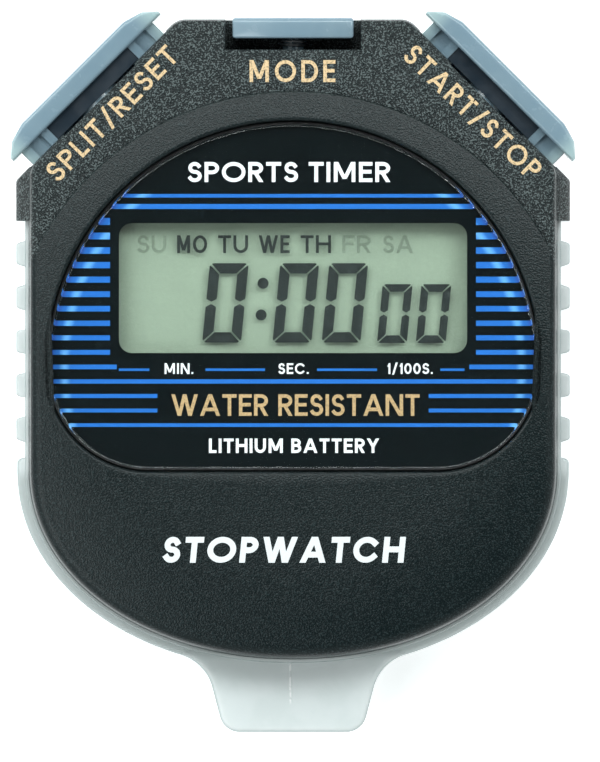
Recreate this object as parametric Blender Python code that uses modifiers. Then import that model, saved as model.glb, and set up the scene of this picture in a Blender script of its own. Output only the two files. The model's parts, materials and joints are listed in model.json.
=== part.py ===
"""Hand-held electronic sports stopwatch, as the separate pieces it is assembled from.

It lies on its back: +Z points out of the display, +Y to the mode button, +X to the start button.
The origin is the middle of the back, on the plane that the watch rests on.
The values below are millimetres. The helpers turn them into metres with MM.
"""

import math

import bmesh
import bpy
import numpy as np
from mathutils import Matrix, Vector

MM = 0.001

# Case outline, seen from the front
CASE_SIDE = 29.6  # half width of the black front
DIAGONAL = 52.6  # x + y on the cut corners that carry the two large buttons
CASE_TOP = 39.6
CASE_TOP_ROUND = 3.5
CASE_SIDE_ROUND = 2.5
SHOULDER_SIDE = 31.1  # half width over the shoulders and the grip ribs
SHOULDER_FOOT = 17.0  # where black shoulder and pale rear wall meet
BOTTOM_CENTRE = -10.98  # the lower end is a superellipse about this height
BOTTOM_POWER = 2.06
BOTTOM_SQUASH = 8.4  # its half height is this much less than its half width

# Levels of the case, from the back
FLOOR = 2.2
REAR_RIM = 11.5
REAR_RIM_TOP = 5.7  # the lower rim behind the buttons
PART_GAP = 0.3
SHOULDER_LEVEL = 12.4
CEILING = 15.8  # underside of the lens ledge
DEEP_CEILING = 17.6
LEDGE = 16.6
LABEL_LEVEL = 18.0
CROWN = 19.6
DOME_CENTRE = -0.75
DOME_FLAT = 22.0  # radius of the flat middle of the dome
DOME_FALL = 110.0  # beyond it the dome drops by (r - DOME_FLAT)^2 / DOME_FALL
BEZEL_RADIUS = 32.08

# Walls, as half widths of nested outlines
REAR_SIDE = 30.1
BAND_SIDE = 31.0
REAR_HOLE_SIDE = 28.1
TONGUE_SIDE = 27.8
TONGUE_FOOT = 3.6
CAVITY_SIDE = 26.8
CAVITY_DIAGONAL = 47.5
CAVITY_TOP = 34.3

# Lens: a half circle above, rounded corners and a straight edge below
LENS_RADIUS = 27.72
LENS_CENTRE = 0.45
LENS_CORNER = 11.65
LENS_BOTTOM = 17.2
LENS_TOP = 18.85
WINDOW = (39.0, 14.55)
WINDOW_CENTRE = 9.4
WINDOW_ROUND = 1.45

# Grip ribs, lower band and lanyard lug of the rear shell
RIB_PITCH = 4.93
RIB_HEIGHT = 2.75
RIB_TOP = 13.3
RIBS = 5
BAND_TOP = -9.6
TRIM_LEVELS = (1.6, 11.2)
LUG_LEVELS = (2.6, 10.6)
LUG_BOTTOM = -40.45
SLOT = 4.4  # the lanyard slot is square

# Push buttons: u runs along the case edge, n points out of it, z is measured from the stem
STEM_LEVEL = 11.3
STEM_RADIUS = 1.2
STEM_HOLE = 1.4
GROOVE_RADIUS = 0.85  # the neck that the retaining clip sits in
GROOVE = (-4.7, -3.85)
TRAVEL = 1.0
POCKET_FLOOR = -1.8
WALL_INSIDE = -3.6
STEM_END = -5.4
HUB_RADIUS = 2.7
HUB_BORE = 2.1
CORNER_MIDDLE = (21.9, 30.7)
PLATE = (1.7, 4.6)  # inner face of a corner button's outer plate, and its half height
POCKET = (10.8, 3.8)  # half length and half height
NAIL_SLOT = 5.65  # half length of the slot in the wall above a corner button
FINS = ((6.4, 7.4), (9.2, 10.3))
MODE_FACE = 37.9
MODE_HALF = 6.8
MODE_LEVELS = (-3.5, 5.9)
NOTCH_HALF = 7.6
SPRING = (1.72, 0.17)  # coil radius and wire radius
SEAL = (1.88, 0.42)
SHEET = 0.25  # thickness of every sprung metal contact

# Circuit board, display and battery
BOARD = (10.9, 11.7)
BOARD_HALF = 22.3
BOARD_ENDS = (-16.0, 30.5)
BOARD_CUT = 11.7  # length of the cut corners along each edge
UNDER_BOARD = 10.7
GLASS_HALF = 21.4
FRONT_GLASS = (-1.0, 19.4)
REAR_GLASS = (1.6, 17.0)
ZEBRA_HALF = 20.0
ZEBRA_STRIPS = {"lower": (-0.4, 0.8), "upper": (17.8, 19.0)}
HOLDER_LEVELS = (12.2, 13.65)
CELL_CENTRE = -13.5
CELL_RADIUS = 10.0
CELL = (5.4, 8.6)
HOLDER_WALL = (10.3, 11.3)
BUZZER_CENTRE = 12.5
HATCH_RADIUS = 12.3
HATCH_LEVELS = (0.15, 1.35)
HATCH_HOLE = 10.6
HATCH_OPEN = 40.0  # degrees from locked to free
PLUG_RADIUS = 9.5
PLUG_TOP = 3.3
BAYONET = (11.4, 8.5)  # outer and inner radius of the two lugs
BAYONET_LEVELS = (2.45, 3.15)
BAYONET_HALF = 17.0  # degrees
CASE_SCREWS = {"upper_left": (-23.7, 21.4), "upper_right": (23.7, 21.4),
               "lower_left": (-17.5, -20.5), "lower_right": (17.5, -20.5)}
BOARD_SCREWS = {"upper_left": (-8.5, 28.6), "upper_right": (8.5, 28.6),
                "lower_left": (-19.5, -13.0), "lower_right": (19.5, -13.0)}


# ---------------------------------------------------------------- scene and materials

def clear_scene():
    for old in list(bpy.data.objects):
        bpy.data.objects.remove(old, do_unlink=True)


def new_collection(name):
    made = bpy.data.collections.new(name)
    bpy.context.scene.collection.children.link(made)
    return made


def material(name, colour, roughness, metallic=0.0, clear=0.0):
    made = bpy.data.materials.new(name)
    made.use_nodes = True
    shader = made.node_tree.nodes["Principled BSDF"]
    shader.inputs["Base Color"].default_value = (*colour, 1.0)
    shader.inputs["Roughness"].default_value = roughness
    shader.inputs["Metallic"].default_value = metallic
    shader.inputs["Transmission Weight"].default_value = clear
    made.diffuse_color = (*colour, 1.0)
    return made


clear_scene()
PARTS = new_collection("stopwatch")
CUTTERS = new_collection("cutters")
CUTTERS.hide_render = True

BLACK = material("black case plastic", (0.035, 0.042, 0.044), 0.5)
PALE = material("milky plastic", (0.72, 0.79, 0.79), 0.35, clear=0.2)
BUTTON_GREY = material("grey button plastic", (0.22, 0.32, 0.38), 0.25, clear=0.3)
CLEAR = material("clear lens plastic", (0.95, 0.97, 0.97), 0.04, clear=1.0)
PRINT = material("printed dial", (0.01, 0.012, 0.014), 0.35)
GLASS = material("display glass", (0.28, 0.37, 0.29), 0.15, clear=0.5)
REFLECTOR = material("display reflector", (0.5, 0.56, 0.48), 0.4, 0.3)
FRAME_WHITE = material("white frame plastic", (0.75, 0.75, 0.72), 0.5)
RUBBER = material("black rubber", (0.02, 0.02, 0.022), 0.8)
PINK_RUBBER = material("pink contact rubber", (0.62, 0.25, 0.27), 0.7)
BOARD_GREEN = material("circuit board", (0.05, 0.2, 0.09), 0.45)
EPOXY = material("black epoxy", (0.01, 0.01, 0.011), 0.25)
STEEL = material("spring steel", (0.6, 0.6, 0.62), 0.3, 1.0)
BRASS = material("brass", (0.7, 0.5, 0.2), 0.3, 1.0)
CERAMIC = material("white ceramic", (0.8, 0.78, 0.72), 0.5)


# ---------------------------------------------------------------- outlines

def rounded(corners, step=15.0):
    """Points round a loop of (x, y, radius) corners, each corner an arc with a point every step degrees."""
    points = []
    for i, (x, y, radius) in enumerate(corners):
        here = Vector((x, y))
        before = (Vector(corners[i - 1][:2]) - here).normalized()
        after = (Vector(corners[(i + 1) % len(corners)][:2]) - here).normalized()
        if radius == 0:
            points.append((x, y))
            continue
        half = before.angle(after) / 2
        centre = here + (before + after).normalized() * radius / math.sin(half)
        start = here + before * radius / math.tan(half) - centre
        turn = math.pi - 2 * half
        side = 1 if before.x * after.y - before.y * after.x < 0 else -1
        count = max(1, math.ceil(math.degrees(turn) / step))
        for k in range(count + 1):
            angle = side * turn * k / count
            points.append((centre.x + start.x * math.cos(angle) - start.y * math.sin(angle),
                           centre.y + start.x * math.sin(angle) + start.y * math.cos(angle)))
    return points


def arc(centre, radius, start, end, count):
    angles = np.radians(np.linspace(start, end, count + 1))
    return [(centre[0] + radius * math.cos(a), centre[1] + radius * math.sin(a)) for a in angles]


def lower_end(side, count=22):
    """The lower end from its right end round to its left: |x/a|^p + |y/b|^p = 1 below the centre."""
    power = 2 / BOTTOM_POWER
    angles = np.linspace(0, math.pi, count + 1)
    across = side * np.sign(np.cos(angles)) * np.abs(np.cos(angles)) ** power
    down = (side - BOTTOM_SQUASH) * np.abs(np.sin(angles)) ** power
    return list(zip(across, BOTTOM_CENTRE - down))


def case_outline(side, diagonal=DIAGONAL, top=CASE_TOP):
    """The whole case, from the lower end's left up over the cut corners and down again."""
    shrink = CASE_SIDE - side
    top_round = max(0.5, CASE_TOP_ROUND - max(0, shrink))
    side_round = max(0.5, CASE_SIDE_ROUND - max(0, shrink))
    upper = rounded([(-side, BOTTOM_CENTRE, 0), (-side, diagonal - side, side_round),
                     (top - diagonal, top, top_round), (diagonal - top, top, top_round),
                     (side, diagonal - side, side_round), (side, BOTTOM_CENTRE, 0)])
    return upper[:-1] + lower_end(side)[:-1]


def below(side, height):
    """The lower end's outline, cut off straight at a height."""
    drop = max(0.0, BOTTOM_CENTRE - height) / (side - BOTTOM_SQUASH)
    across = side * (1 - drop ** BOTTOM_POWER) ** (1 / BOTTOM_POWER)
    return [p for p in lower_end(side) if p[1] < height - 0.2] + [(-across, height), (across, height)]


def lens_outline(inset=0.0):
    """The lens opening, drawn in by an amount all round."""
    corner = LENS_CORNER - inset
    across = LENS_RADIUS - LENS_CORNER
    return (arc((0, LENS_CENTRE), LENS_RADIUS - inset, 0, 180, 30)
            + arc((-across, LENS_CENTRE), corner, 180, 270, 7)[1:]
            + arc((across, LENS_CENTRE), corner, 270, 360, 7)[:-1])


def rectangle(half, across, grow=0.0):
    """A rectangle about x = 0, between two heights, that may be taller by an amount at each end."""
    low, high = across[0] - grow, across[1] + grow
    return [(-half, low), (half, low), (half, high), (-half, high)]


def lug_outline():
    half = (arc((12.6, -35.6), 3.7, 90, 180, 5)
            + rounded([(8.9, -35.6, 0), (7.75, LUG_BOTTOM, 1.6), (0, LUG_BOTTOM, 0)])[1:-1])
    half = [(12.6, -29.5)] + half
    return half + [(-x, y) for x, y in reversed(half)]


# ---------------------------------------------------------------- solids

def add(obj, mat=None, collection=None):
    (collection or PARTS).objects.link(obj)
    if mat:
        obj.data.materials.append(mat)
    return obj


def from_bmesh(name, shape):
    bmesh.ops.recalc_face_normals(shape, faces=shape.faces)
    mesh = bpy.data.meshes.new(name)
    shape.to_mesh(mesh)
    shape.free()
    return bpy.data.objects.new(name, mesh)


def block(name, low, high):
    shape = bmesh.new()
    bmesh.ops.create_cube(shape, size=1.0)
    low, high = Vector(low) * MM, Vector(high) * MM
    bmesh.ops.scale(shape, vec=high - low, verts=shape.verts)
    bmesh.ops.translate(shape, vec=(high + low) / 2, verts=shape.verts)
    return from_bmesh(name, shape)


def rod(name, radius, start, end, segments=24):
    """A cylinder between two points."""
    start, end = Vector(start) * MM, Vector(end) * MM
    shape = bmesh.new()
    bmesh.ops.create_cone(shape, cap_ends=True, segments=segments, radius1=radius * MM,
                          radius2=radius * MM, depth=(end - start).length)
    turn = (end - start).to_track_quat("Z", "Y").to_matrix().to_4x4()
    bmesh.ops.transform(shape, matrix=Matrix.Translation((start + end) / 2) @ turn, verts=shape.verts)
    return from_bmesh(name, shape)


def mesh_of_curve(name, curve):
    """The closed mesh that a curve object evaluates to."""
    bpy.context.scene.collection.objects.link(curve)
    graph = bpy.context.evaluated_depsgraph_get()
    mesh = bpy.data.meshes.new_from_object(curve.evaluated_get(graph))
    bpy.data.objects.remove(curve, do_unlink=True)
    shape = bmesh.new()
    shape.from_mesh(mesh)
    bmesh.ops.remove_doubles(shape, verts=shape.verts, dist=1e-6)
    bpy.data.meshes.remove(mesh)
    return from_bmesh(name, shape)


def prism(name, loops, low, high, axis="Z"):
    """Flat loops, the first outside and the rest holes, extruded along an axis from low to high."""
    curve = bpy.data.curves.new(name, "CURVE")
    curve.dimensions = "2D"
    curve.fill_mode = "BOTH"
    curve.extrude = (high - low) / 2 * MM
    for loop in loops:
        spline = curve.splines.new("POLY")
        spline.points.add(len(loop) - 1)
        for point, (x, y) in zip(spline.points, loop):
            point.co = (x * MM, y * MM, 0, 1)
        spline.use_cyclic_u = True
    made = mesh_of_curve(name, bpy.data.objects.new(name, curve))
    made.data.transform(Matrix.Translation((0, 0, (low + high) / 2 * MM)))
    turns = {"Z": Matrix.Identity(3),
             "X": Matrix(((0, 0, 1), (1, 0, 0), (0, 1, 0))),
             "Y": Matrix(((0, 1, 0), (0, 0, 1), (1, 0, 0)))}
    made.data.transform(turns[axis].to_4x4())
    return made


def coil(name, radius, wire, low, high, turns, centre=(0, 0)):
    """A helical spring along Z with a POLY centre line."""
    per_turn = 10
    steps = np.arange(turns * per_turn + 1)
    curve = bpy.data.curves.new(name, "CURVE")
    curve.dimensions = "3D"
    curve.bevel_depth = wire * MM
    curve.bevel_resolution = 1
    curve.use_fill_caps = True
    spline = curve.splines.new("POLY")
    spline.points.add(len(steps) - 1)
    for point, k in zip(spline.points, steps):
        angle = 2 * math.pi * k / per_turn
        rise = low + (high - low) * k / steps[-1]
        point.co = ((centre[0] + radius * math.cos(angle)) * MM,
                    (centre[1] + radius * math.sin(angle)) * MM, rise * MM, 1)
    return mesh_of_curve(name, bpy.data.objects.new(name, curve))


def torus(name, major, minor, centre):
    """An O-ring lying flat."""
    bpy.ops.mesh.primitive_torus_add(major_segments=18, minor_segments=7,
                                     major_radius=major * MM, minor_radius=minor * MM)
    made = bpy.context.active_object
    made.name = made.data.name = name
    made.data.transform(Matrix.Translation(Vector(centre) * MM))
    for home in list(made.users_collection):
        home.objects.unlink(made)
    return made


def turned(name, profile, steps, centre=(0, 0)):
    """A profile of (radius, height) points from the axis, turned about Z by a Screw modifier."""
    mesh = bpy.data.meshes.new(name)
    mesh.from_pydata([(r * MM, 0, z * MM) for r, z in profile],
                     [(i, i + 1) for i in range(len(profile) - 1)], [])
    made = bpy.data.objects.new(name, mesh)
    made.location = (centre[0] * MM, centre[1] * MM, 0)
    screw = made.modifiers.new("turn", "SCREW")
    screw.steps = screw.render_steps = steps
    screw.use_merge_vertices = True
    screw.merge_threshold = 1e-6
    return made


def boolean(target, operation, *others):
    """Adds one Boolean a piece, and puts the other shapes with the hidden cutters."""
    for other in others:
        if not other.users_collection:
            add(other, collection=CUTTERS)
        other.hide_render = True
        other.display_type = "WIRE"
        modifier = target.modifiers.new(other.name, "BOOLEAN")
        modifier.object = other
        modifier.operation = operation
        modifier.solver = "EXACT"


def cut(target, *others):
    boolean(target, "DIFFERENCE", *others)


def join(target, *others):
    boolean(target, "UNION", *others)


def together(name, *objects):
    """Several separate shapes as one cutter."""
    shape = bmesh.new()
    for obj in objects:
        obj.data.transform(obj.matrix_basis)
        shape.from_mesh(obj.data)
        bpy.data.objects.remove(obj, do_unlink=True)
    return from_bmesh(name, shape)


def bake(obj):
    """Turns live modifiers into mesh, and removes the shapes that they used."""
    loose = not obj.users_collection
    if loose:
        add(obj, collection=CUTTERS)
    graph = bpy.context.evaluated_depsgraph_get()
    mesh = bpy.data.meshes.new_from_object(obj.evaluated_get(graph))
    used = [m.object for m in obj.modifiers if m.type == "BOOLEAN"]
    obj.modifiers.clear()
    obj.data = mesh
    for other in used:
        bpy.data.objects.remove(other, do_unlink=True)
    if loose:
        CUTTERS.objects.unlink(obj)
    return obj


def bevel_level(obj, level, width, segments):
    """Rounds the edges that lie on one level of a prism."""
    shape = bmesh.new()
    shape.from_mesh(obj.data)
    rim = [e for e in shape.edges if all(abs(v.co.z - level * MM) < 1e-6 for v in e.verts)
           and e.calc_face_angle(0) > 0.5]
    bmesh.ops.bevel(shape, geom=rim, offset=width * MM, segments=segments, profile=0.5,
                    affect="EDGES", clamp_overlap=True)
    shape.to_mesh(obj.data)
    shape.free()
    return obj


def smooth(obj, angle=35.0):
    obj.data.shade_smooth()
    obj.data.set_sharp_from_angle(angle=math.radians(angle))
    return obj


def finish(obj, mat, name=None):
    """Names a baked shape, gives it its material and puts it with the parts."""
    if name:
        obj.name = obj.data.name = name
    obj.data.materials.clear()
    return smooth(add(obj, mat))


# ---------------------------------------------------------------- button places

def place_corner(sign):
    """Location and turn about Z that put local Y along the outward diagonal."""
    return Matrix.Translation(Vector((sign * CORNER_MIDDLE[0], CORNER_MIDDLE[1], STEM_LEVEL)) * MM) @ \
        Matrix.Rotation(-sign * math.radians(45), 4, "Z")


BUTTON_PLACES = {
    "split_reset": place_corner(-1),
    "start_stop": place_corner(1),
    "mode": Matrix.Translation(Vector((0, MODE_FACE, STEM_LEVEL)) * MM),
}


def placed(obj, place):
    obj.data.transform(place)
    return obj


# ---------------------------------------------------------------- case

def dome_height(radius):
    """The dome falls away from its flat middle, and stops just over the label area."""
    return max(CROWN - max(0.0, radius - DOME_FLAT) ** 2 / DOME_FALL, LABEL_LEVEL + 0.1)


def above_dome():
    """Everything over the domed face: its underside is the face."""
    far, high = 46.0, 26.0
    radii = [far, 34.7, 32.5, 30.5, 28, 25, DOME_FLAT]
    profile = [(0, high), (far, high)] + [(r, dome_height(r)) for r in radii] + [(0, CROWN)]
    return turned("above dome", profile, 60, (0, DOME_CENTRE))


def above_labels():
    """Everything over the flat label area, outside the bezel ring."""
    start = math.degrees(math.asin((5 - DOME_CENTRE) / BEZEL_RADIUS))
    ring = arc((0, DOME_CENTRE), BEZEL_RADIUS, start, 180 - start, 36)
    return prism("above labels", [ring + [(-40, 5), (-40, 45), (40, 45), (40, 5)]],
                 LABEL_LEVEL, CROWN + 1)


def pocket_cutters(name, place):
    """The pocket or notch of one button, and its stem hole with the seal's seat."""
    bore = rod(name + " bore", STEM_HOLE, (0, WALL_INSIDE + 0.9, 0), (0, POCKET_FLOOR + 1, 0))
    seat = rod(name + " seat", SEAL[0] + SEAL[1] + PART_GAP - 0.05,
               (0, WALL_INSIDE - 1.5, 0), (0, WALL_INSIDE + 1, 0))
    if name == "mode":
        pocket = block("notch", (-NOTCH_HALF, POCKET_FLOOR, -4.1), (NOTCH_HALF, 4, 12))
        return [placed(c, place) for c in (pocket, bore, seat)]
    half, tall = POCKET
    pocket = block(name + " pocket", (-half, POCKET_FLOOR, -tall), (half, 3, tall))
    slot = block(name + " slot", (-NAIL_SLOT, -0.4, tall - 1.8), (NAIL_SLOT, 3, 12))
    return [placed(c, place) for c in (pocket, slot, bore, seat)]


def front_shell():
    shell = add(prism("front_shell", [case_outline(CASE_SIDE, DIAGONAL - 0.28, CASE_TOP - 0.2)],
                      REAR_RIM + PART_GAP, CROWN + 0.5), BLACK)
    cut(shell, above_dome(), above_labels())
    foot = SHOULDER_FOOT + PART_GAP / 2
    skirt = rounded([(-SHOULDER_SIDE, foot, 0), (-SHOULDER_SIDE, DIAGONAL - SHOULDER_SIDE, 0.6),
                     (CASE_TOP - DIAGONAL, CASE_TOP, CASE_TOP_ROUND),
                     (DIAGONAL - CASE_TOP, CASE_TOP, CASE_TOP_ROUND),
                     (SHOULDER_SIDE, DIAGONAL - SHOULDER_SIDE, 0.6), (SHOULDER_SIDE, foot, 0)])
    join(shell, prism("skirt", [skirt], REAR_RIM_TOP + PART_GAP, SHOULDER_LEVEL))
    tongue = case_outline(TONGUE_SIDE, DIAGONAL - 2.0 * math.sqrt(2), CASE_TOP - 2.0)
    join(shell, prism("tongue", [tongue], TONGUE_FOOT, SHOULDER_LEVEL + 0.6))
    cavity = case_outline(CAVITY_SIDE, CAVITY_DIAGONAL, CAVITY_TOP)
    cut(shell, prism("cavity", [cavity], 0, CEILING),
        prism("deep cavity", [below(CAVITY_SIDE, -14.0)], CEILING - 1, DEEP_CEILING),
        prism("lens pocket", [lens_outline()], LEDGE, CROWN + 2),
        prism("ledge opening", [lens_outline(1.9)], CEILING - 1, LEDGE + 1))
    for name, place in BUTTON_PLACES.items():
        cut(shell, *pocket_cutters(name, place))
    posts, holes = [], []
    for (x, y), radius, hole, low, top in (
            [(at, 2.0, 1.1, FLOOR + PART_GAP, 11.0) for at in CASE_SCREWS.values()]
            + [(at, 1.8, 0.8, BOARD[1] + 0.15, 15.4) for at in BOARD_SCREWS.values()]):
        roof = DEEP_CEILING + 0.3 if y < 0 else LEDGE - 0.4
        posts.append(rod("post", radius, (x, y, low), (x, y, roof), 20))
        holes.append(rod("hole", hole, (x, y, low - 1), (x, y, top), 16))
    join(shell, together("posts", *posts))
    cut(shell, together("post holes", *holes))
    return smooth(shell, 30)


def rear_shell():
    base = prism("rear_shell", [case_outline(REAR_SIDE)], 0, REAR_RIM)
    shell = add(bevel_level(base, 0, 1.6, 3), PALE)
    low, high = TRIM_LEVELS
    trim = [prism("band", [below(BAND_SIDE, BAND_TOP)], low, high)]
    for sign in (-1, 1):
        for k in range(RIBS):
            middle = RIB_TOP - k * RIB_PITCH
            inner, outer = sorted((sign * 29.4, sign * SHOULDER_SIDE))
            trim.append(block("rib", (inner, middle - RIB_HEIGHT / 2, low),
                              (outer, middle + RIB_HEIGHT / 2, high)))
        corner = DIAGONAL - SHOULDER_SIDE
        foot = SHOULDER_FOOT - PART_GAP / 2
        trim.append(prism("shoulder", [[(sign * 29.4, foot), (sign * SHOULDER_SIDE, foot),
                                        (sign * SHOULDER_SIDE, corner), (sign * 29.4, corner + 1.6)]],
                          low, REAR_RIM_TOP - 0.2))
    join(shell, together("trim", *trim), prism("lug", [lug_outline()], *LUG_LEVELS))
    hole = case_outline(REAR_HOLE_SIDE, DIAGONAL - 1.7 * math.sqrt(2), CASE_TOP - 1.7)
    slot_low, slot_level = LUG_BOTTOM + 1.8, sum(LUG_LEVELS) / 2 - SLOT / 2
    cut(shell, prism("inside", [hole], FLOOR, REAR_RIM + 2),
        block("button side", (-40, SHOULDER_FOOT - PART_GAP / 2, REAR_RIM_TOP), (40, 45, REAR_RIM + 2)),
        block("lanyard slot", (-20, slot_low, slot_level), (20, slot_low + SLOT, slot_level + SLOT)))
    outer, inner = BAYONET[0] + 0.4, BAYONET[1] - 0.5
    notch_half = BAYONET_HALF + 7
    notches = [prism("notch", [sector(outer, inner, middle - notch_half, middle + notch_half)], 1.0, 4)
               for middle in (HATCH_OPEN, HATCH_OPEN + 180)]
    cut(shell, rod("hatch recess", HATCH_RADIUS + PART_GAP, (0, CELL_CENTRE, -1), (0, CELL_CENTRE, 1.5), 48),
        rod("hatch hole", HATCH_HOLE, (0, CELL_CENTRE, 1), (0, CELL_CENTRE, 3), 48), *notches)
    for name, (x, y) in CASE_SCREWS.items():
        cut(shell, rod("screw hole " + name, 1.2, (x, y, 0.6), (x, y, 3), 16),
            rod("screw seat " + name, 2.1, (x, y, -1), (x, y, 1.1), 20))
    return smooth(shell, 30)


def sector(outer, inner, start, end):
    """Part of a ring about the hatch's axis."""
    middle = (0, CELL_CENTRE)
    return arc(middle, outer, start, end, 6) + arc(middle, inner, end, start, 4)


def case_gasket():
    def loop(inset):
        return case_outline(CASE_SIDE - inset, DIAGONAL - inset * math.sqrt(2), CASE_TOP - inset)
    return finish(prism("case_gasket", [loop(2.1), loop(2.8)], FLOOR + 0.15, TONGUE_FOOT - 0.15), RUBBER)


# ---------------------------------------------------------------- display

def display():
    lens = bevel_level(prism("lens", [lens_outline(0.55)], LENS_BOTTOM, LENS_TOP), LENS_TOP, 0.35, 1)
    finish(lens, CLEAR)
    finish(prism("lens_gasket", [lens_outline(0.08), lens_outline(0.42)], LENS_BOTTOM, 18.4), RUBBER)
    width, height = WINDOW[0] / 2, WINDOW[1] / 2
    window = rounded([(sx * width, WINDOW_CENTRE + sy * height, WINDOW_ROUND)
                      for sx, sy in ((-1, -1), (1, -1), (1, 1), (-1, 1))])
    finish(prism("dial_plate", [lens_outline(0.35), window], LEDGE + 0.15, LENS_BOTTOM - 0.15), PRINT)
    for name, half, (low, high), levels, mat in (
            ("lcd_front_glass", GLASS_HALF, FRONT_GLASS, (14.95, 15.6), GLASS),
            ("lcd_rear_glass", GLASS_HALF, REAR_GLASS, (14.15, 14.8), GLASS),
            ("lcd_reflector", GLASS_HALF - 0.2, (REAR_GLASS[0] + 0.2, REAR_GLASS[1] - 0.2),
             (13.8, 14.0), REFLECTOR)):
        finish(block(name, (-half, low, levels[0]), (half, high, levels[1])), mat)
    loops = [rectangle(GLASS_HALF, FRONT_GLASS, 0.85)]
    for place, across in ZEBRA_STRIPS.items():
        strip = rectangle(ZEBRA_HALF, across)
        finish(prism("zebra_strip_" + place, [strip], BOARD[1] + 0.15, 14.8), PINK_RUBBER)
        loops.append(rectangle(ZEBRA_HALF + 0.1, across, 0.2))
    finish(prism("lcd_holder", loops, *HOLDER_LEVELS), FRAME_WHITE)


# ---------------------------------------------------------------- circuit board and its parts

def screw(name, at, head, shank, head_levels, tip):
    x, y = at
    made = rod(name, head, (x, y, head_levels[0]), (x, y, head_levels[1]), 20)
    join(made, rod("shank", shank, (x, y, head_levels[1] - 0.2), (x, y, tip), 12))
    depth = head_levels[0] + 0.35
    for across, along in ((head * 0.6, 0.2), (0.2, head * 0.6)):
        cut(made, block("drive", (x - across, y - along, head_levels[0] - 1), (x + across, y + along, depth)))
    finish(bake(made), STEEL)


def circuit_board():
    low, high = BOARD_ENDS
    right = [(BOARD_HALF, low), (BOARD_HALF, high - BOARD_CUT), (BOARD_HALF - BOARD_CUT, high)]
    edge = right + [(-x, y) for x, y in reversed(right)]
    holes = [arc(at, 0.9, 0, 337.5, 15) for at in BOARD_SCREWS.values()]
    finish(prism("circuit_board", [rounded([(x, y, 0.8) for x, y in edge], 45)] + holes, *BOARD),
           BOARD_GREEN)
    blob = [(0, UNDER_BOARD), (4, UNDER_BOARD)]
    blob += [(4 * math.cos(a), UNDER_BOARD - 0.2 - 1.2 * math.sin(a)) for a in np.radians((0, 25, 50, 75))]
    finish(bake(turned("chip_blob", blob + [(0, UNDER_BOARD - 1.4)], 24, (13.5, 4.5))), EPOXY)
    finish(rod("quartz_crystal", 1.0, (-18, 4, 9.6), (-12, 4, 9.6), 16), STEEL)
    for name, x in (("capacitor_left", -15.5), ("capacitor_right", -11.5)):
        finish(block(name, (x - 1, 8.4, 9.7), (x + 1, 9.6, UNDER_BOARD)), CERAMIC)
    trimmer = rod("trimmer_capacitor", 2.0, (-16.5, 14, 8.9), (-16.5, 14, UNDER_BOARD), 20)
    cut(trimmer, block("trim slot", (-17.9, 13.7, 8), (-15.1, 14.3, 9.4)))
    finish(bake(trimmer), CERAMIC)
    for name, at in BOARD_SCREWS.items():
        screw("board_screw_" + name, at, 1.5, 0.6, (9.9, UNDER_BOARD), 14.8)
    for name, at in CASE_SCREWS.items():
        screw("case_screw_" + name, at, 1.8, 0.9, (0.25, 1.0), 10.4)


def buzzer():
    centre = (0, BUZZER_CENTRE)
    finish(rod("piezo_plate", 10.0, (*centre, FLOOR + 0.15), (*centre, 2.6), 40), BRASS)
    finish(rod("piezo_ceramic", 7.2, (*centre, 2.75), (*centre, 3.0), 32), CERAMIC)
    finish(coil("buzzer_spring_centre", 1.2, 0.18, 3.4, 10.5, 5, centre), STEEL)
    finish(coil("buzzer_spring_rim", 1.1, 0.18, 3.0, 10.5, 5, (8.75, BUZZER_CENTRE)), STEEL)


def battery():
    centre = (0, CELL_CENTRE)
    cell = rod("coin_cell", CELL_RADIUS, (*centre, CELL[0]), (*centre, CELL[1] - 0.6), 48)
    join(cell, rod("cap", CELL_RADIUS - 1.2, (*centre, CELL[0] + 1), (*centre, CELL[1]), 40))
    finish(bake(cell), STEEL)
    wall = prism("battery_holder", [arc(centre, radius, 0, 352.5, 47) for radius in HOLDER_WALL],
                 TONGUE_FOOT, UNDER_BOARD)
    rim = CELL_CENTRE + HOLDER_WALL[0] - 0.05
    cut(wall, block("strap gap", (-2.3, rim - 2, 3), (2.3, rim + 3, 12)))
    finish(bake(wall), FRAME_WHITE)
    strap = [(rim, 5.6), (rim + SHEET, 5.6), (rim + SHEET, UNDER_BOARD - SHEET),
             (rim + 3.2, UNDER_BOARD - SHEET), (rim + 3.2, UNDER_BOARD), (rim, UNDER_BOARD)]
    finish(prism("battery_contact_positive", [strap], -1.8, 1.8, "X"), STEEL)
    foot, touch = UNDER_BOARD - SHEET, CELL[1] + 0.2
    bend = [(foot, -7.5), (foot, -5.0), (touch, -0.8), (touch, 0.8), (foot, 5.0), (foot, 7.5)]
    leaf = bend + [(z + SHEET, x) for z, x in reversed(bend)]
    finish(prism("battery_contact_negative", [leaf], CELL_CENTRE - 1.5, CELL_CENTRE + 1.5, "Y"), STEEL)


def hatch():
    """The coin-turned battery hatch, its O-ring and its foam pad turn together about the cell's axis."""
    centre = (0, CELL_CENTRE)
    low, high = HATCH_LEVELS
    cover = rod("battery_hatch", HATCH_RADIUS, (*centre, low), (*centre, high), 48)
    lugs = [prism("lug", [sector(*BAYONET, start - BAYONET_HALF, start + BAYONET_HALF)], *BAYONET_LEVELS)
            for start in (0, 180)]
    join(cover, rod("plug", PLUG_RADIUS, (*centre, high - 0.35), (*centre, PLUG_TOP), 40),
         together("bayonets", *lugs))
    cut(cover, block("coin slot", (-6, CELL_CENTRE - 0.85, -1), (6, CELL_CENTRE + 0.85, 0.9)))
    for obj in (finish(bake(cover), PALE),
                finish(torus("hatch_gasket", 10.05, 0.42, (*centre, 1.85)), RUBBER),
                finish(rod("battery_pad", 6.0, (*centre, 3.45), (*centre, 5.25), 32), RUBBER)):
        axis = Vector((0, CELL_CENTRE * MM, 0))
        obj.data.transform(Matrix.Translation(-axis))
        obj.location = axis


# ---------------------------------------------------------------- buttons

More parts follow.
